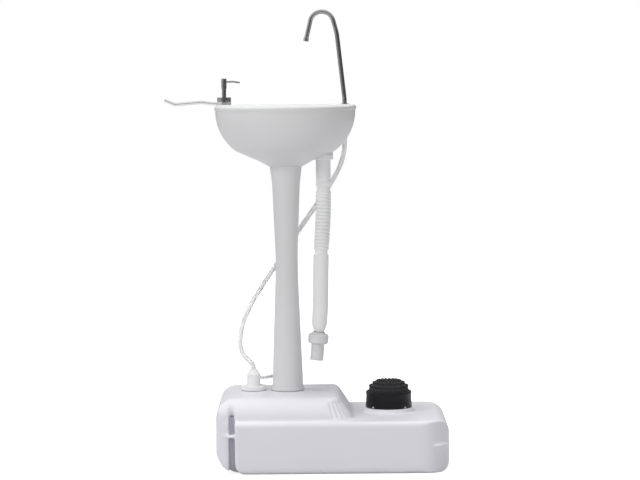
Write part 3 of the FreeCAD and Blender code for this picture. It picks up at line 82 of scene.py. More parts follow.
# %% Camera
COLUMN_DEPTH = 17 * MM
VIEW_DISTANCE = 5.6
EYE_ACROSS = -0.0246
EYE_HEIGHT = 0.890
EYE = Vector((EYE_ACROSS, COLUMN_DEPTH - VIEW_DISTANCE, EYE_HEIGHT))
PICTURE_WIDTH = 640
FOCAL_PIXELS = 2497
TILT = math.radians(3.97)
ROLL = math.radians(0.5)
SENSOR_WIDTH = 36.0
bpy.ops.object.camera_add(location=EYE)
camera = bpy.context.object
camera.name = "view_camera"
camera.data.sensor_width = SENSOR_WIDTH
camera.data.lens = SENSOR_WIDTH * FOCAL_PIXELS / PICTURE_WIDTH
camera.rotation_mode = "XYZ"
camera.rotation_euler = (math.pi / 2 - TILT, 0, 0)
camera.rotation_euler.rotate_axis("Z", -ROLL)
scene.camera = camera
print("lens %.1f mm, tilt %.2f degrees" % (camera.data.lens, math.degrees(TILT)))


# %% [markdown]
# A product picture on white. The camera sees the sky as plain white, and the light that falls from the
# sky is kept at a plain level, so that a colour renders about as it is written. Mirrors see something
# else: a room that is dark at eye level, paler behind the object and bright overhead, with a tall
# window at the left that is brighter towards its top. Plating that mirrors plain white would look like
# white paint. A picture of a real room could be used, but a few ramps over the direction need no file.

# %% The sky
WHITE = (1, 1, 1, 1)
SKY_LIGHT = 0.34
ROOM_DARK = 0.07
ROOM_BEHIND = 0.24
ROOM_OVERHEAD = 0.92
WINDOW = 0.9
WINDOW_FOOT = 0.2
BEHIND_SPAN = (-0.2, 1.0)
OVERHEAD_SPAN = (0.1, 0.6)
WINDOW_SPAN = (-0.8, -0.45)
WINDOW_RISE = (-0.25, 0.15)


def link(tree, source, target):
    """A link from one socket to another."""
    tree.links.new(source, target)


def larger(tree, first, second):
    """The larger of two values."""
    node = tree.nodes.new("ShaderNodeMath")
    node.operation = "MAXIMUM"
    link(tree, first, node.inputs[0])
    link(tree, second, node.inputs[1])
    return node.outputs[0]


def ramp(tree, value, span, low, high):
    """A value that goes smoothly from low to high while another crosses a span."""
    node = tree.nodes.new("ShaderNodeMapRange")
    node.interpolation_type = "SMOOTHSTEP"
    node.inputs["From Min"].default_value = span[0]
    node.inputs["From Max"].default_value = span[1]
    node.inputs["To Min"].default_value = low
    node.inputs["To Max"].default_value = high
    link(tree, value, node.inputs["Value"])
    return node.outputs["Result"]


world = bpy.data.worlds.new("white_sky")
scene.world = world
world.use_nodes = True
sky = world.node_tree
background = sky.nodes["Background"]
background.inputs["Color"].default_value = WHITE
path = sky.nodes.new("ShaderNodeLightPath")
toward = sky.nodes.new("ShaderNodeTexCoord")
parts = sky.nodes.new("ShaderNodeSeparateXYZ")
link(sky, toward.outputs["Generated"], parts.inputs[0])
# What mirrors see
behind = ramp(sky, parts.outputs["Y"], BEHIND_SPAN, ROOM_DARK, ROOM_BEHIND)
overhead = ramp(sky, parts.outputs["Z"], OVERHEAD_SPAN, ROOM_DARK, ROOM_OVERHEAD)
window = sky.nodes.new("ShaderNodeMath")
window.operation = "MULTIPLY"
link(sky, ramp(sky, parts.outputs["X"], WINDOW_SPAN, WINDOW, 0.0), window.inputs[0])
link(sky, ramp(sky, parts.outputs["Z"], WINDOW_RISE, WINDOW_FOOT, 1.0), window.inputs[1])
room = larger(sky, larger(sky, behind, overhead), window.outputs[0])
mirrored = sky.nodes.new("ShaderNodeMath")
mirrored.operation = "MULTIPLY"
link(sky, path.outputs["Is Glossy Ray"], mirrored.inputs[0])
link(sky, room, mirrored.inputs[1])
# What the camera sees, and what is left as light
seen = larger(sky, path.outputs["Is Camera Ray"], path.outputs["Is Transmission Ray"])
shown = larger(sky, seen, mirrored.outputs[0])
even = sky.nodes.new("ShaderNodeMath")
even.operation = "MULTIPLY_ADD"
even.inputs[1].default_value = -SKY_LIGHT
even.inputs[2].default_value = SKY_LIGHT
link(sky, larger(sky, seen, path.outputs["Is Glossy Ray"]), even.inputs[0])
total = sky.nodes.new("ShaderNodeMath")
link(sky, even.outputs[0], total.inputs[0])
link(sky, shown, total.inputs[1])
link(sky, total.outputs[0], background.inputs["Strength"])
print("sky of", len(sky.nodes), "nodes")


# %% [markdown]
# The floor is pale and all but melts into the white round it, with only a faint shade under the object.
# A floor that is lit like any other would end in a grey edge, so it glows a little for the camera, and
# more so farther away.

# %% The floor
FLOOR_SIZE = 14.0
FLOOR_GREY = (0.6, 0.6, 0.61, 1)
FLOOR_ROUGHNESS = 0.9
FLOOR_MIRRORED = 0.3
GLOW_SPAN = (0.3, 0.8)
GLOW_NEAR = 0.74
GLOW_FAR = 1.0
bpy.ops.object.select_all(action="DESELECT")
bpy.ops.mesh.primitive_plane_add(size=FLOOR_SIZE, location=(0, 0, 0))
floor = bpy.context.object
floor.name = "pale_floor"
floor_skin = bpy.data.materials.new("pale_floor")
floor_skin.use_nodes = True
tree = floor_skin.node_tree
shader = tree.nodes["Principled BSDF"]
shader.inputs["Base Color"].default_value = FLOOR_GREY
shader.inputs["Roughness"].default_value = FLOOR_ROUGHNESS
shader.inputs["Emission Color"].default_value = WHITE
path = tree.nodes.new("ShaderNodeLightPath")
where = tree.nodes.new("ShaderNodeNewGeometry")
far = tree.nodes.new("ShaderNodeVectorMath")
far.operation = "LENGTH"
link(tree, where.outputs["Position"], far.inputs[0])
glow = ramp(tree, far.outputs["Value"], GLOW_SPAN, GLOW_NEAR, GLOW_FAR)
lift = tree.nodes.new("ShaderNodeMath")
lift.operation = "MULTIPLY"
link(tree, glow, lift.inputs[0])
seen = larger(tree, path.outputs["Is Camera Ray"], path.outputs["Is Transmission Ray"])
dim = ramp(tree, path.outputs["Is Glossy Ray"], (0, 1), 0, FLOOR_MIRRORED)
link(tree, larger(tree, seen, dim), lift.inputs[1])
link(tree, lift.outputs[0], shader.inputs["Emission Strength"])
floor.data.materials.append(floor_skin)
print("floor of", FLOOR_SIZE, "m")


# %% [markdown]
# Three round lamps: a wide one high above, which gives most of the light, one at the upper left in
# front, and a weak one at the right that keeps the dark sides from going grey. They are soft because
# they are large. Mirrors don't see them, since round spots on the plating would give them away.

# %% Lamps
LAMPS = {
    # name: place, size, watts
    "key_lamp": ((-2.6, -3.2, 2.6), 1.6, 60),
    "fill_lamp": ((2.8, -2.6, 1.4), 1.8, 14),
    "top_lamp": ((-0.8, -0.2, 6.0), 3.6, 240),
}
AIM = Vector((0, 0, 0.5))
for name, (place, size, watts) in LAMPS.items():
    bpy.ops.object.light_add(type="AREA", location=place)
    lamp = bpy.context.object
    lamp.name = name
    lamp.data.shape = "DISK"
    lamp.data.size = size
    lamp.data.energy = watts
    lamp.visible_glossy = False
    lamp.rotation_euler = (AIM - Vector(place)).to_track_quat("-Z", "Y").to_euler()
print(len(LAMPS), "lamps")


# %% [markdown]
# Every skin on this object is moulded, plated or rolled, and none is perfectly even: moulded plastic
# has a faint cloudiness and an orange-peel grain, plating has faint waves. One node group makes that
# unevenness from two noises in object space, and each finish sets its own amounts.

# %% The uneven-skin group
CLOUD_DETAIL = 4
GRAIN_DETAIL = 2
NOISE_MIDDLE = 0.5


def build_uneven_skin():
    """The group that makes colour, roughness and height uneven."""
    group = bpy.data.node_groups.new("uneven_skin", "ShaderNodeTree")
    faces = group.interface
    for name, kind, value in (
        ("Color", "NodeSocketColor", (0.8, 0.8, 0.8, 1)),
        ("Cloud Scale", "NodeSocketFloat", 9.0),
        ("Cloud Amount", "NodeSocketFloat", 0.03),
        ("Grain Scale", "NodeSocketFloat", 900.0),
        ("Roughness", "NodeSocketFloat", 0.4),
        ("Roughness Amount", "NodeSocketFloat", 0.06),
    ):
        socket = faces.new_socket(name, in_out="INPUT", socket_type=kind)
        socket.default_value = value
    for name, kind in (("Color", "NodeSocketColor"), ("Roughness", "NodeSocketFloat"),
                       ("Height", "NodeSocketFloat")):
        faces.new_socket(name, in_out="OUTPUT", socket_type=kind)
    enter = group.nodes.new("NodeGroupInput")
    leave = group.nodes.new("NodeGroupOutput")
    place = group.nodes.new("ShaderNodeTexCoord")
    cloud = group.nodes.new("ShaderNodeTexNoise")
    cloud.inputs["Detail"].default_value = CLOUD_DETAIL
    grain = group.nodes.new("ShaderNodeTexNoise")
    grain.inputs["Detail"].default_value = GRAIN_DETAIL
    for noise, scale in ((cloud, "Cloud Scale"), (grain, "Grain Scale")):
        link(group, place.outputs["Object"], noise.inputs["Vector"])
        link(group, enter.outputs[scale], noise.inputs["Scale"])
    centred = group.nodes.new("ShaderNodeMath")
    centred.operation = "SUBTRACT"
    centred.inputs[1].default_value = NOISE_MIDDLE
    link(group, cloud.outputs["Fac"], centred.inputs[0])
    shade = group.nodes.new("ShaderNodeMath")
    shade.operation = "MULTIPLY_ADD"
    shade.inputs[2].default_value = 1.0
    link(group, centred.outputs[0], shade.inputs[0])
    link(group, enter.outputs["Cloud Amount"], shade.inputs[1])
    tint = group.nodes.new("ShaderNodeVectorMath")
    tint.operation = "SCALE"
    link(group, enter.outputs["Color"], tint.inputs[0])
    link(group, shade.outputs[0], tint.inputs["Scale"])
    link(group, tint.outputs[0], leave.inputs["Color"])
    rough = group.nodes.new("ShaderNodeMath")
    rough.operation = "MULTIPLY_ADD"
    link(group, centred.outputs[0], rough.inputs[0])
    link(group, enter.outputs["Roughness Amount"], rough.inputs[1])
    link(group, enter.outputs["Roughness"], rough.inputs[2])
    link(group, rough.outputs[0], leave.inputs["Roughness"])
    link(group, grain.outputs["Fac"], leave.inputs["Height"])
    return group


UNEVEN_SKIN = build_uneven_skin()
print("group of", len(UNEVEN_SKIN.nodes), "nodes")


# %% [markdown]
# A finish is one principled shader with the group in front of it. The whites differ a little: the tank
# is faintly violet and rougher, the hoses let some light in, and the valleys between the ribs get a
# darker white, painted shade for the little light that gets into them. The thin hose is milky, so light
# both passes it and spreads in it. The plating is grey rather than white, since what it mirrors makes it
# bright.

# %% A helper for finishes
GRAIN_STEP = 0.5 * MM
MILKY_DEPTH = 4 * MM


def finish_of(name, color, roughness, cloud=0.03, cloud_scale=9.0, grain=900.0, grain_height=0.05,
              rough_amount=0.06, metallic=0.0, subsurface=0.0, specular=0.5):
    """A finish: the uneven skin feeding one principled shader, with plain values on its own sockets."""
    skin = bpy.data.materials.new(name)
    skin.use_nodes = True
    tree = skin.node_tree
    shader = tree.nodes["Principled BSDF"]
    uneven = tree.nodes.new("ShaderNodeGroup")
    uneven.node_tree = UNEVEN_SKIN
    uneven.inputs["Color"].default_value = (*color, 1)
    uneven.inputs["Cloud Scale"].default_value = cloud_scale
    uneven.inputs["Cloud Amount"].default_value = cloud
    uneven.inputs["Grain Scale"].default_value = grain
    uneven.inputs["Roughness"].default_value = roughness
    uneven.inputs["Roughness Amount"].default_value = rough_amount
    bump = tree.nodes.new("ShaderNodeBump")
    bump.inputs["Strength"].default_value = grain_height
    bump.inputs["Distance"].default_value = GRAIN_STEP
    link(tree, uneven.outputs["Color"], shader.inputs["Base Color"])
    link(tree, uneven.outputs["Roughness"], shader.inputs["Roughness"])
    link(tree, uneven.outputs["Height"], bump.inputs["Height"])
    link(tree, bump.outputs["Normal"], shader.inputs["Normal"])
    shader.inputs["Metallic"].default_value = metallic
    shader.inputs["Specular IOR Level"].default_value = specular
    shader.inputs["Subsurface Weight"].default_value = subsurface
    shader.inputs["Subsurface Radius"].default_value = (MILKY_DEPTH, MILKY_DEPTH, MILKY_DEPTH)
    return skin


print("grain steps of", GRAIN_STEP / MM, "mm")


# %% [markdown]
# Each slot of the part has one finish, and three nodes have another than their slot: the seal under the
# drain is white, like the hose below it, the hose end takes the darker moulded white, and the thin towel
# bar gets a lighter copy of the chrome, with painted brightness for the light it reflects.

# %% Finishes
HOSE_CLEAR = 0.45
moulded_white = finish_of("moulded_white", (0.76, 0.76, 0.765), 0.36, cloud=0.02, grain=700,
                          grain_height=0.06)
tank_white = finish_of("tank_white", (0.815, 0.805, 0.855), 0.4, cloud=0.025, grain=600,
                       grain_height=0.08)
hose_white = finish_of("hose_white", (0.93, 0.93, 0.935), 0.42, cloud=0.03, cloud_scale=30,
                       subsurface=0.15)
# painted shade for the valleys between the drain hose's ribs
painted_valley_shade = finish_of("painted_valley_shade", (0.80, 0.80, 0.81), 0.5, cloud=0.03, cloud_scale=30)
milky_hose = finish_of("milky_hose", (0.92, 0.92, 0.92), 0.65, cloud=0.02, cloud_scale=40, subsurface=0.7)
shader = milky_hose.node_tree.nodes["Principled BSDF"]
shader.inputs["Transmission Weight"].default_value = HOSE_CLEAR
chrome = finish_of("chrome", (0.4, 0.4, 0.41), 0.24, cloud=0.02, cloud_scale=60, grain=150,
                   grain_height=0.01, rough_amount=0.04, metallic=1.0)
# a lighter copy of the chrome: painted brightness for the towel bar's reflections
lit_towel_chrome = finish_of("lit_towel_chrome", (0.8, 0.8, 0.81), 0.3, cloud=0.02, cloud_scale=60,
                         rough_amount=0.04, metallic=1.0)
bright_steel = finish_of("bright_steel", (0.62, 0.62, 0.63), 0.28, cloud=0.08, cloud_scale=120,
                         metallic=1.0)
seal_rubber = finish_of("seal_rubber", (0.03, 0.03, 0.03), 0.7, cloud=0.2, cloud_scale=80)
# painted contact shade: the dark grey of the seals under the cap and the collar
shade_seal_grey = finish_of("shade_seal_grey", (0.16, 0.16, 0.165), 0.6, cloud=0.1, cloud_scale=80)
pump_black = finish_of("pump_black", (0.006, 0.006, 0.008), 0.36, cloud=0.2, cloud_scale=60,
                       grain_height=0.12, specular=0.25)
tread_black = finish_of("tread_black", (0.016, 0.016, 0.018), 0.62, cloud=0.4, cloud_scale=120,
                        grain=1400, grain_height=0.3)
FINISH_OF_SLOT = {
    "moulded_white": moulded_white,
    "hose_white": hose_white,
    "clear_hose": milky_hose,
    "chrome": chrome,
    "steel": bright_steel,
    "seal_rubber": seal_rubber,
    "pump_plastic": pump_black,
    "tread_rubber": tread_black,
}
for entry in frame["record"]["subparts"]:
    piece = nodes[entry["node"]]
    piece.data.materials.clear()
    piece.data.materials.append(FINISH_OF_SLOT[entry["material_slot"]])
# painted brightness: the towel bar takes the lighter copy of the chrome
nodes["towel_bar"].data.materials[0] = lit_towel_chrome
nodes["drain_gasket"].data.materials[0] = hose_white
nodes["hose_end"].data.materials[0] = moulded_white
print(len(FINISH_OF_SLOT), "finishes on", len(nodes), "nodes")


# %% [markdown]
# Three hoses, each a fixed length of something flexible. The thin supply hose leaves the nut under the
# faucet, hangs behind the column and goes back into the fitting on the filler cap. A short air hose
# links that fitting with the barb on the tank. A swept mesh would do, but a curve with a round bevel
# keeps its section even in every bend. Its control points are those of the drawing, so the smooth line
# lies where the solids lie.

# %% Thin hoses
SUPPLY_DIAMETER = 10.5 * MM
AIR_DIAMETER = 8 * MM
LINE_STEPS = 8
LINE_ORDER = 3
ROUND_STEPS = 6
SUPPLY_ROUTE = [
    (34, 105, 754), (34, 105, 728), (33, 104, 700), (23, 100, 664), (0, 94, 622), (-34, 88, 574),
    (-72, 81, 521), (-110, 72, 465), (-146, 60, 411), (-180, 44, 360), (-202, 28, 312),
    (-208, 19, 272), (-203, 17, 249), (-191, 17, 233), (-180, 17, 224), (-177, 17, 218), (-177, 17, 211),
]
AIR_ROUTE = [
    (-158, 17, 192), (-150, 17, 192), (-143, 21, 192.5), (-138.5, 30, 192.8), (-134, 43, 192.5),
    (-129, 55, 191), (-124.5, 64.5, 188), (-122, 72, 181.8), (-122, 72, 172),
]


def smooth_line(name, route):
    """A smooth open curve with the route's points, given in millimetres, as its control points."""
    data = bpy.data.curves.new(name, "CURVE")
    data.dimensions = "3D"
    data.resolution_u = LINE_STEPS
    spline = data.splines.new("NURBS")
    spline.points.add(len(route) - 1)
    for point, spot in zip(spline.points, route):
        point.co = (spot[0] * MM, spot[1] * MM, spot[2] * MM, 1)
    spline.order_u = LINE_ORDER
    spline.use_endpoint_u = True
    line = bpy.data.objects.new(name, data)
    bpy.context.collection.objects.link(line)
    return line


def thin_hose(name, route, diameter, node):
    """A round hose on its smooth line, in the place of its solid."""
    line = smooth_line(name, route)
    line.data.bevel_depth = diameter / 2
    line.data.bevel_resolution = ROUND_STEPS
    line.data.use_fill_caps = True
    line.data.materials.append(milky_hose)
    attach(line, "station")
    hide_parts(node)
    return line


supply = thin_hose("supply_line", SUPPLY_ROUTE, SUPPLY_DIAMETER, "supply_hose")
air = thin_hose("air_line", AIR_ROUTE, AIR_DIAMETER, "air_hose")


# %% [markdown]
# The drain hose is a ribbed tube with a long plain cuff, on one line that hangs from the tail piece. A
# bevel has the same section all along, so here the rings of the tube are set across the line one by
# one: the ribs swell and fall along the upper half, and the cuff below has a small step at its top, a
# taper at its mouth and a faint waviness, as soft tube has where it is stretched over a spigot.

# %% Drain hose
DRAIN_ROUTE = [(-16, 17, 621), (-16, 17, 580), (-18.4, 17, 530), (-22.2, 17, 480), (-23.4, 17, 430),
               (-24.2, 17, 385), (-25.2, 17, 338), (-29, 17, 294)]
DRAIN_JOIN = 151 * MM
DRAIN_LENGTH = 327 * MM
RIB_COUNT = 17
RIB_RADIUS = 17.3 * MM
ROOT_RADIUS = 14.6 * MM
RIB_FULL = 1.35
RIB_BLUNT = 0.8
VALLEY_SHARE = 0.45
CUFF_RADIUS = 17.6 * MM
CUFF_LIP = 3.5 * MM
CUFF_TAPER = 24 * MM
CUFF_MOUTH = 10.5 * MM
MOUTH_CURVE = 1.8
WAVES = [(0.12 * MM, 11 * MM, 0.0), (0.1 * MM, 23 * MM, 1.0)]
RINGS = 420
SIDES = 48
PLAIN_END = 9 * MM


def points_on(line):
    """The points of a smooth line, as Blender draws it."""
    mesh = bpy.data.meshes.new_from_object(line)
    points = [vertex.co.copy() for vertex in mesh.vertices]
    bpy.data.meshes.remove(mesh)
    return points


def station_at(points, distance):
    """The point and direction at a distance along a row of points."""
    left = distance
    for first, second in zip(points, points[1:]):
        run = second - first
        if left <= run.length or second is points[-1]:
            return first + run.normalized() * left, run.normalized()
        left -= run.length


def drain_radius(along):
    """The outer radius of the drain hose at a distance from its top."""
    if along < DRAIN_JOIN:
        part = (along - PLAIN_END) / (DRAIN_JOIN - 2 * PLAIN_END) * RIB_COUNT
        if part < 0 or part > RIB_COUNT:
            return ROOT_RADIUS
        swell = math.sin(math.pi * (part % 1.0))
        share = min(1.0, RIB_FULL * max(0.0, swell) ** RIB_BLUNT)
        return ROOT_RADIUS + (RIB_RADIUS - ROOT_RADIUS) * share
    step = min(1.0, (along - DRAIN_JOIN) / CUFF_LIP)
    narrow = min(1.0, max(0.0, (along - DRAIN_LENGTH + CUFF_TAPER) / CUFF_TAPER))
    waviness = sum(depth * math.sin(along / length + start) for depth, length, start in WAVES)
    full = ROOT_RADIUS + (CUFF_RADIUS - ROOT_RADIUS) * (1 - (1 - step) ** 2) - abs(waviness)
    return full + (CUFF_MOUTH - full) * narrow ** MOUTH_CURVE


drain_line = smooth_line("drain_line", DRAIN_ROUTE)
drain_points = points_on(drain_line)
bpy.data.objects.remove(drain_line)
mesh = bpy.data.meshes.new("drain_tube")
shape = bmesh.new()
rows = []
across = Vector((0, 1, 0))
for ring in range(RINGS + 1):
    along = DRAIN_LENGTH * ring / RINGS
    middle, ahead = station_at(drain_points, along)
    upward = ahead.cross(across).normalized()
    radius = drain_radius(along)
    row = []
    for side in range(SIDES):
        turn = 2 * math.pi * side / SIDES
        outward = across * math.cos(turn) + upward * math.sin(turn)
        row.append(shape.verts.new(middle + outward * radius))
    rows.append(row)
for upper, lower in zip(rows, rows[1:]):
    for side in range(SIDES):
        after = (side + 1) % SIDES
        shape.faces.new((upper[side], upper[after], lower[after], lower[side]))
shape.faces.new(reversed(rows[0]))
shape.faces.new(rows[-1])
bmesh.ops.recalc_face_normals(shape, faces=shape.faces)
shape.to_mesh(mesh)
shape.free()
mesh.polygons.foreach_set("use_smooth", [len(face.vertices) == 4 for face in mesh.polygons])
drain = bpy.data.objects.new("drain_tube", mesh)
bpy.context.collection.objects.link(drain)
mesh.materials.append(hose_white)
mesh.materials.append(painted_valley_shade)
# the faces in the valleys between the ribs take the darker finish: painted shade
valley = ROOT_RADIUS + VALLEY_SHARE * (RIB_RADIUS - ROOT_RADIUS)
for ring in range(RINGS):
    along = DRAIN_LENGTH * (ring + 0.5) / RINGS
    if PLAIN_END < along < DRAIN_JOIN - PLAIN_END and drain_radius(along) < valley:
        for side in range(SIDES):
            mesh.polygons[ring * SIDES + side].material_index = 1
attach(drain, "station")
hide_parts("drain_hose", "hose_cuff")
print("drain hose of", DRAIN_LENGTH, "m,", len(mesh.polygons), "faces")


# %% [markdown]
# Blow-moulded plastic has no sharp edge anywhere. Bevels would have to be set edge by edge, and would
# break where many edges meet. So a copy of the solid's mesh, without the tank's hidden cavity, is
# remade from small voxels and smoothed, and every edge and inner corner turns over a few millimetres.
# The solids stay in the frame and these skins stand for them. First come three small helpers that open
# a piece in edit mode.

# %% Helpers for edit mode
WELD = 0.01 * MM


def edit_all(piece):
    """Opens one piece in edit mode, with all of it selected."""
    bpy.ops.object.select_all(action="DESELECT")
    piece.select_set(True)
    bpy.context.view_layer.objects.active = piece
    bpy.ops.object.mode_set(mode="EDIT")
    bpy.ops.mesh.select_mode(type="VERT")
    bpy.ops.mesh.select_all(action="SELECT")


def edit_spots(piece, chosen):
    """Opens one piece in edit mode, with those vertices selected whose place is chosen."""
    edit_all(piece)
    bpy.ops.mesh.select_all(action="DESELECT")
    bpy.ops.object.mode_set(mode="OBJECT")
    for vert in piece.data.vertices:
        vert.select = chosen(vert.co)
    bpy.ops.object.mode_set(mode="EDIT")


def edit_faces(piece, chosen):
    """Opens one piece in edit mode, with the chosen faces selected."""
    edit_all(piece)
    bpy.ops.mesh.select_mode(type="FACE")
    bpy.ops.mesh.select_all(action="DESELECT")
    bpy.ops.object.mode_set(mode="OBJECT")
    for face in piece.data.polygons:
        face.select = chosen(face)
    bpy.ops.object.mode_set(mode="EDIT")


print("points closer than", WELD / MM, "mm are merged")


# %% [markdown]
# The tank is a hollow shell, and its cavity joins the outside at a few bores. Voxels would fill thin
# walls badly, so the walls of the bores are deleted, the surface that holds the lowest point is kept,
# and its open rims are closed.

# %% Soft moulded skins
TANK_VOXEL = 3.7 * MM
BASIN_VOXEL = 2.1 * MM
HALFWAY = 0.5
SOFT_ROUNDS = 2
TANK_BORES = [
    # x, y and radius in millimetres
    (-177, 17, 16.5), (145, 0, 4), (-122, 72, 6),
    (156, 29, 3), (98, 29, 3), (98, -29, 3), (156, -29, 3),
]
BORE_SLACK = 0.4
UPRIGHT = 0.2
DECK_BLOCK_MIDDLE = (52, -50, 107)
DECK_BLOCK_SIZE = (30, 124, 16)
FLUTED_WALL = [(16, 50), (-112, 10), (116, 160)]


def in_bore(face):
    """True for a wall face of one of the tank's upright bores."""
    if abs(face.normal.z) >= UPRIGHT:
        return False
    for x, y, radius in TANK_BORES:
        if math.hypot(face.center.x - x * MM, face.center.y - y * MM) < (radius + BORE_SLACK) * MM:
            return True
    return False


def drop_cavity(skin):
    """Cuts the shell at its bores, keeps the outer surface and closes the cut rims."""
    edit_faces(skin, in_bore)
    bpy.ops.mesh.delete(type="FACE")
    bpy.ops.object.mode_set(mode="OBJECT")
    before = len(skin.data.vertices)
    lowest = min(vert.co.z for vert in skin.data.vertices)
    edit_spots(skin, lambda spot: spot.z == lowest)
    bpy.ops.mesh.select_linked()
    bpy.ops.mesh.select_all(action="INVERT")
    bpy.ops.mesh.delete(type="VERT")
    bpy.ops.mesh.select_all(action="SELECT")
    bpy.ops.mesh.fill_holes(sides=0)
    bpy.ops.object.mode_set(mode="OBJECT")
    print("inner surface dropped:", before - len(skin.data.vertices), "vertices")


def add_deck_block(skin):
    """A block under the low deck, where the flutes would run on into it."""
    middle = Vector(DECK_BLOCK_MIDDLE) * MM
    edit_all(skin)
    bpy.ops.mesh.select_all(action="DESELECT")
    bpy.ops.mesh.primitive_cube_add(size=MM, location=middle)
    bpy.ops.transform.resize(value=DECK_BLOCK_SIZE, center_override=middle)
    bpy.ops.object.mode_set(mode="OBJECT")


def off_flutes(spot):
    """True away from the fluted wall of the tall block, which keeps its crisp lines."""
    return not all(low * MM < value < high * MM for value, (low, high) in zip(spot, FLUTED_WALL))


def merged_copy(name, node):
    """A copy of a node's mesh as an object of its own, merged and without its stored normals."""
    piece = bpy.data.objects.new(name, nodes[node].data.copy())
    piece.data.name = name
    bpy.context.collection.objects.link(piece)
    edit_all(piece)
    bpy.ops.mesh.customdata_custom_splitnormals_clear()
    bpy.ops.mesh.remove_doubles(threshold=WELD)
    bpy.ops.mesh.mark_sharp(clear=True)
    bpy.ops.object.mode_set(mode="OBJECT")
    return piece


def remake(skin, voxel, chosen):
    """Remakes a skin from voxels, then smooths the chosen places more than the rest."""
    edit_all(skin)
    bpy.ops.mesh.normals_make_consistent(inside=False)
    bpy.ops.object.mode_set(mode="OBJECT")
    skin.data.remesh_voxel_size = voxel
    bpy.ops.object.voxel_remesh()
    edit_spots(skin, chosen)
    bpy.ops.mesh.vertices_smooth(factor=HALFWAY, repeat=SOFT_ROUNDS)
    bpy.ops.mesh.select_all(action="SELECT")
    bpy.ops.mesh.vertices_smooth(factor=HALFWAY, repeat=1)
    bpy.ops.object.mode_set(mode="OBJECT")
    bpy.ops.object.shade_smooth()


def dress(piece, body, node, finish):
    """Gives a finished piece its body, slot and finish, and the node it stands for, if any."""
    piece.data.materials.clear()
    piece.data.materials.append(finish)
    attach(piece, body)
    if node:
        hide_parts(node)
    print(piece.name, len(piece.data.polygons), "faces")


tank_skin = merged_copy("tank_skin", "tank")
drop_cavity(tank_skin)
add_deck_block(tank_skin)
remake(tank_skin, TANK_VOXEL, off_flutes)
dress(tank_skin, "station", "tank", tank_white)

basin_skin = merged_copy("basin_skin", "basin")
remake(basin_skin, BASIN_VOXEL, lambda spot: True)
dress(basin_skin, "station", "basin", moulded_white)


# %% [markdown]
# The grooves beside the tank's left end don't stop sharply at their upper ends. They run out upwards in
# a soft dent, which is pressed into the skin by moving its vertices, as a sculpting brush would.

# %% Dents above the grooves
GROOVE_MIDDLE = -221.5 * MM
GROOVE_HALF = 9 * MM
GROOVE_SIDE = 100 * MM
DENT_FOOT = 126 * MM
DENT_TOP = 153 * MM
DENT_DEPTH = 15 * MM
dented = 0
for vert in tank_skin.data.vertices:
    away = abs(vert.co.x - GROOVE_MIDDLE) / GROOVE_HALF
    if away < 1 and DENT_FOOT < vert.co.z < DENT_TOP and abs(vert.co.y) > GROOVE_SIDE:
        fade = (DENT_TOP - vert.co.z) / (DENT_TOP - DENT_FOOT)
        vert.co.y -= math.copysign(DENT_DEPTH * fade * (1 - away * away) ** 2, vert.co.y)
        dented += 1
print("dents over", dented, "points")


# %% [markdown]
# Flutes run down the tall block's rounded corners on the right, which are parts of a leaning cone. The
# voxels are too coarse for them, so the corners are subdivided once and the vertices then moved inwards
# along a wave.

# %% Flutes on the corners
CORNER_X = -25 * MM
CORNER_Y = 99 * MM
CONE_FOOT = 115 * MM
CONE_RADIUS = 70 * MM
CONE_LEAN = 31 / 48
CONE_MISS = 6 * MM
FLUTE_TURNS = (-68, 0)
FLUTE_PITCH = 12
FLUTE_DEPTH = 2.6 * MM
FLUTE_LEVELS = (119 * MM, 156 * MM)
FLUTE_RUNOUT = 5 * MM


def corner_turn(spot):
    """Degrees round the corner cone, or nothing for a spot that isn't on its fluted part."""
    across = spot.x - CORNER_X
    ahead = CORNER_Y - abs(spot.y)
    turn = math.degrees(math.atan2(ahead, across))
    miss = math.hypot(across, ahead) - CONE_RADIUS + (spot.z - CONE_FOOT) * CONE_LEAN
    level = FLUTE_LEVELS[0] < spot.z < FLUTE_LEVELS[1]
    return turn if level and FLUTE_TURNS[0] < turn < FLUTE_TURNS[1] and abs(miss) < CONE_MISS else None


edit_spots(tank_skin, lambda spot: corner_turn(spot) is not None)
bpy.ops.mesh.subdivide(number_cuts=1)
bpy.ops.object.mode_set(mode="OBJECT")
for vert in tank_skin.data.vertices:
    turn = corner_turn(vert.co)
    if turn is None:
        continue
    runout = min(vert.co.z - FLUTE_LEVELS[0], FLUTE_LEVELS[1] - vert.co.z) / FLUTE_RUNOUT
    wave = (1 - math.cos(2 * math.pi * turn / FLUTE_PITCH)) / 2
    inward = FLUTE_DEPTH * wave * min(1.0, runout)
    vert.co.x -= inward * math.cos(math.radians(turn))
    vert.co.y = math.copysign(abs(vert.co.y) + inward * math.sin(math.radians(turn)), vert.co.y)
print("flutes on the corners, the tank's skin now has", len(tank_skin.data.polygons), "faces")


# %% [markdown]
# The basin's rim is rolled, and rounder than any other edge. More rounds of smoothing give that, but
# they also make the rim thinner, so it is swollen again along its normals.

# %% Rolled rim
RIM_FROM = 795.5 * MM
RIM_ROUNDS = 12
RIM_SWELL = 0.9 * MM
edit_spots(basin_skin, lambda spot: spot.z > RIM_FROM)
bpy.ops.mesh.vertices_smooth(factor=HALFWAY, repeat=RIM_ROUNDS)
bpy.ops.object.mode_set(mode="OBJECT")
rim = [(vert, vert.normal.copy()) for vert in basin_skin.data.vertices if vert.select]
for vert, outward in rim:
    vert.co += outward * RIM_SWELL
print("rim rounded over", len(rim), "points")


# %% [markdown]
# The foot pump is where the photograph has its finest detail: the rubber tread is a low dome set with
# blunt nubs in rings, and the cup round it has a bead under its lip and small arches in its foot. Both
# are turned forms. They could be cut from a cylinder, but a profile that is drawn point by point and
# spun about the pump's axis gives the bead and the lip at once.

# %% A helper for turned forms
PUMP_AXIS = (127, 0)
SPIN_STEPS = 180
FULL_TURN = 2 * math.pi


def on_axis(axis, radius, height):
    """A spot beside an upright axis, all in millimetres, as a place in the scene."""
    return Vector((axis[0] + radius, axis[1], height)) * MM


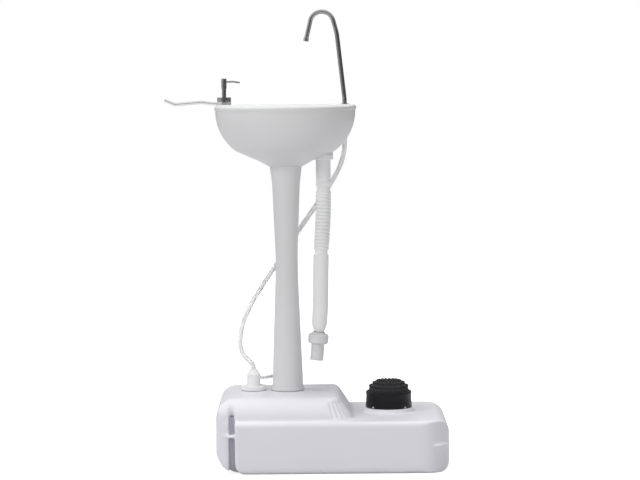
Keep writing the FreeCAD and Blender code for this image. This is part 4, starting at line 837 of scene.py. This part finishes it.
def drawn_line(name, spots):
    """A line extruded from spot to spot. Edit mode stays on, with all of the line selected."""
    bpy.ops.object.select_all(action="DESELECT")
    bpy.ops.mesh.primitive_plane_add(size=MM, location=spots[0])
    piece = bpy.context.object
    piece.name = name
    piece.data.name = name
    bpy.ops.object.mode_set(mode="EDIT")
    bpy.ops.mesh.select_mode(type="VERT")
    bpy.ops.mesh.select_all(action="SELECT")
    bpy.ops.mesh.merge(type="CENTER")
    for before, after in zip(spots, spots[1:]):
        bpy.ops.mesh.extrude_vertices_move(TRANSFORM_OT_translate={"value": after - before})
    bpy.ops.mesh.select_all(action="SELECT")
    return piece


def settle(piece):
    """Leaves edit mode and puts the piece's place into its mesh."""
    bpy.ops.object.mode_set(mode="OBJECT")
    bpy.ops.object.transform_apply(location=True, rotation=True, scale=True)
    bpy.ops.object.shade_smooth()
    return piece


def spun_piece(name, profile, axis):
    """Spins a profile of radius and height pairs, in millimetres, about an upright axis."""
    piece = drawn_line(name, [on_axis(axis, radius, height) for radius, height in profile])
    bpy.ops.mesh.spin(steps=SPIN_STEPS, angle=FULL_TURN, center=on_axis(axis, 0, 0), axis=(0, 0, 1))
    bpy.ops.mesh.select_all(action="SELECT")
    bpy.ops.mesh.remove_doubles(threshold=WELD)
    bpy.ops.mesh.normals_make_consistent(inside=False)
    return settle(piece)


def join_copies(model, places, piece=None):
    """Copies of a model at the given places, joined into a piece or into the first copy."""
    copies = []
    for place in places:
        copy = bpy.data.objects.new(model.name, model.data.copy())
        bpy.context.collection.objects.link(copy)
        copy.data.transform(place)
        copies.append(copy)
    piece = piece or copies[0]
    bpy.ops.object.select_all(action="DESELECT")
    for member in [piece, *copies]:
        member.select_set(True)
    bpy.context.view_layer.objects.active = piece
    bpy.ops.object.join()
    bpy.data.objects.remove(model)
    return piece


print("a full turn has", SPIN_STEPS, "steps")


# %% [markdown]
# A nub starts as a filled circle with eight corners, and is extruded and drawn in three times. It is
# modelled once, at the origin. Its copies stand square to the dome, in rings that are staggered like
# the rows of a brick wall.

# %% Tread with nubs
DOME = [(0, 185.4), (12, 185.2), (22, 184.6), (28, 183.4), (32, 181), (36, 177.8), (40.5, 174),
        (43.4, 169.8), (44.8, 165.4), (45.2, 161)]
TREAD_WALL = [(45.4, 154.6), (47.8, 154.2), (47.8, 151.6), (43, 151.5), (42.5, 162), (38, 173),
              (30, 179.5), (0, 182.2)]
NUB_SIDES = 8
NUB_PITCH = 8.2
NUB_PROFILE = [(3.3, -0.8), (3.0, 1.2), (2.3, 2.6), (1.1, 3.3)]
NUB_RINGS = [0, 8.2, 16.4, 25.4, 33.6, 41.4]
NUB_STAGGER = 0.5


def dome_at(radius):
    """Height and outward tilt of the dome at a distance from its axis."""
    for (near, high), (far, low) in zip(DOME, DOME[1:]):
        if near <= radius <= far:
            share = (radius - near) / (far - near)
            return high + share * (low - high), math.atan2(high - low, far - near)
    return DOME[-1][1], math.pi / 2


def nub_model():
    """One blunt nub, standing at the origin."""
    foot_radius, foot = NUB_PROFILE[0]
    bpy.ops.object.select_all(action="DESELECT")
    bpy.ops.mesh.primitive_circle_add(vertices=NUB_SIDES, radius=foot_radius * MM, fill_type="NGON",
                                      location=(0, 0, foot * MM))
    nub = bpy.context.object
    bpy.ops.object.mode_set(mode="EDIT")
    bpy.ops.mesh.select_all(action="SELECT")
    for (wide, low), (narrow, high) in zip(NUB_PROFILE, NUB_PROFILE[1:]):
        bpy.ops.mesh.extrude_region_move(TRANSFORM_OT_translate={"value": (0, 0, (high - low) * MM)})
        share = narrow / wide
        bpy.ops.transform.resize(value=(share, share, 1), center_override=(0, 0, high * MM))
    bpy.ops.mesh.select_all(action="SELECT")
    bpy.ops.mesh.normals_make_consistent(inside=False)
    return settle(nub)


pump_middle = Matrix.Translation(on_axis(PUMP_AXIS, 0, 0))


def nub_places():
    """Places for all nubs, ring by ring, each leaning with the dome."""
    places = []
    for index, radius in enumerate(NUB_RINGS):
        height, tilt = dome_at(radius)
        count = max(1, round(FULL_TURN * radius / NUB_PITCH))
        for step in range(count):
            turn = FULL_TURN * (step + NUB_STAGGER * (index % 2)) / count
            foot = Matrix.Translation(Vector((radius, 0, height)) * MM)
            lean = Matrix.Rotation(tilt, 4, "Y")
            places.append(pump_middle @ Matrix.Rotation(turn, 4, "Z") @ foot @ lean)
    return places


tread = spun_piece("nubbed_tread", DOME + TREAD_WALL, PUMP_AXIS)
join_copies(nub_model(), nub_places(), tread)
dress(tread, "pump_tread", "pump_tread", tread_black)


# %% [markdown]
# The cup is spun from a closed profile. The four arches are made by lifting the vertices of its foot
# along a half ellipse, and a white lug of the tank fills each arch: the arch's outline drawn as a line,
# filled and given a thickness.

# %% Cup and lugs
CUP_FOOT = 126.5
CUP_PROFILE = [(48.6, 126.5), (51.6, 126.5), (51.9, 128), (51.2, 140), (50.6, 155.5), (51.4, 156.6),
               (51.7, 157.8), (51.2, 159), (50.8, 160.4), (50.3, 161.6), (49.4, 162), (46.8, 162),
               (46.3, 161.4), (46.3, 159.2), (48.6, 158.6)]
FOOT_BAND = 2
ARCH_TURNS = [45, 135, 225, 315]
ARCH_HALF = 5.0
ARCH_RISE = 4.0
LUG_RADIUS = 50.6
LUG_THICKNESS = 1.6
LUG_LARGER = 1.15
LUG_STEPS = 12

cup = spun_piece("beaded_cup", CUP_PROFILE + CUP_PROFILE[:1], PUMP_AXIS)
for vert in cup.data.vertices:
    if vert.co.z < (CUP_FOOT + FOOT_BAND) * MM:
        turn = math.degrees(math.atan2(vert.co.y, vert.co.x - PUMP_AXIS[0] * MM)) % 360
        for middle in ARCH_TURNS:
            away = abs(turn - middle) / ARCH_HALF
            if away < 1:
                vert.co.z += ARCH_RISE * MM * math.sqrt(1 - away * away)
dress(cup, "station", "pump_base", pump_black)

outline = []
for step in range(LUG_STEPS + 1):
    share = math.pi * step / LUG_STEPS
    turn = math.radians(ARCH_HALF * LUG_LARGER * math.cos(share))
    rise = CUP_FOOT + ARCH_RISE * LUG_LARGER * math.sin(share)
    outline.append(Vector((LUG_RADIUS * math.cos(turn), LUG_RADIUS * math.sin(turn), rise)) * MM)
lug = drawn_line("foot_lug", outline)
bpy.ops.mesh.edge_face_add()
inner_share = (LUG_RADIUS - LUG_THICKNESS) / LUG_RADIUS
bpy.ops.mesh.extrude_region_move()
bpy.ops.transform.resize(value=(inner_share, inner_share, 1), center_override=(0, 0, 0))
bpy.ops.mesh.select_all(action="SELECT")
bpy.ops.mesh.normals_make_consistent(inside=False)
settle(lug)
lug_places = [pump_middle @ Matrix.Rotation(math.radians(middle), 4, "Z") for middle in ARCH_TURNS]
lugs = join_copies(lug, lug_places)
lugs.name = "foot_lugs"
lugs.data.name = "foot_lugs"
dress(lugs, "station", None, moulded_white)


# %% [markdown]
# Where the filler cap and the column's collar stand on the tank, a dark line of contact shade runs round
# them. A thin dark grey seal that sticks out a little paints that shade in.

# %% Dark seals under the cap and the collar, for painted contact shade
SHADE_SEAL_FOOT = 162.6
SHADE_SEAL_TOP = 164.1
SHADE_SEAL_BULGE = 0.2
SHADE_SEALS = [
    # name, axis, inner and outer radius in millimetres
    ("cap_shade_seal", (-177, 17), 22, 27.6),
    ("collar_shade_seal", (-100, 17), 33, 37.1),
]
# each seal is a dark ring that paints the contact shade round a foot
for name, axis, inside, outside in SHADE_SEALS:
    section = [
        (inside, SHADE_SEAL_FOOT),
        (outside, SHADE_SEAL_FOOT),
        (outside + SHADE_SEAL_BULGE, (SHADE_SEAL_FOOT + SHADE_SEAL_TOP) / 2),
        (outside, SHADE_SEAL_TOP),
        (inside, SHADE_SEAL_TOP),
        (inside, SHADE_SEAL_FOOT),
    ]
    dress(spun_piece(name, section, axis), "station", None, shade_seal_grey)


# %% [markdown]
# The drain hose's ribbed mouth is pushed up over the tail piece, so that two more ribs show above its
# seat.

# %% Ribs on the tail piece
TAIL_AXIS = (-16, 17)
TAIL_FOOT = 620.8
TAIL_RIBS = 2
TAIL_PITCH = 7.8
TAIL_ROOT = 15.4
TAIL_SWELL = 1.9
TAIL_WALL = 1.6
TAIL_STEPS = 12
ribbed = []
for step in range(TAIL_RIBS * TAIL_STEPS + 1):
    swell = math.sin(math.pi * step / TAIL_STEPS) ** 2
    ribbed.append((TAIL_ROOT + TAIL_SWELL * swell, TAIL_FOOT + TAIL_PITCH * step / TAIL_STEPS))
ribbed.append((TAIL_ROOT - TAIL_WALL, ribbed[-1][1]))
ribbed.append((TAIL_ROOT - TAIL_WALL, TAIL_FOOT))
ribbed.append(ribbed[0])
dress(spun_piece("tail_ribs", ribbed, TAIL_AXIS), "station", None, hose_white)


# %% [markdown]
# Three pieces belong to the joints that are pressed: the bellows and the spring under the tread, and the
# small spring in the soap pump. Each is a copy of its solid, merged.

# %% Pieces under the pressed joints
PRESSED = [
    # name, node, joint, travel in millimetres, finish
    ("soft_bellows", "pump_bellows", "pump_press", 18, seal_rubber),
    ("tread_spring", "pump_spring", "pump_press", 18, bright_steel),
    ("stem_spring", "soap_spring", "soap_press", 12, bright_steel),
]
for name, node, joint, travel, finish in PRESSED:
    piece = merged_copy(name, node)
    bpy.ops.object.shade_smooth()
    dress(piece, "station", node, finish)
    middle = sum((vert.co for vert in piece.data.vertices), Vector()) / len(piece.data.vertices)
    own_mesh(piece)
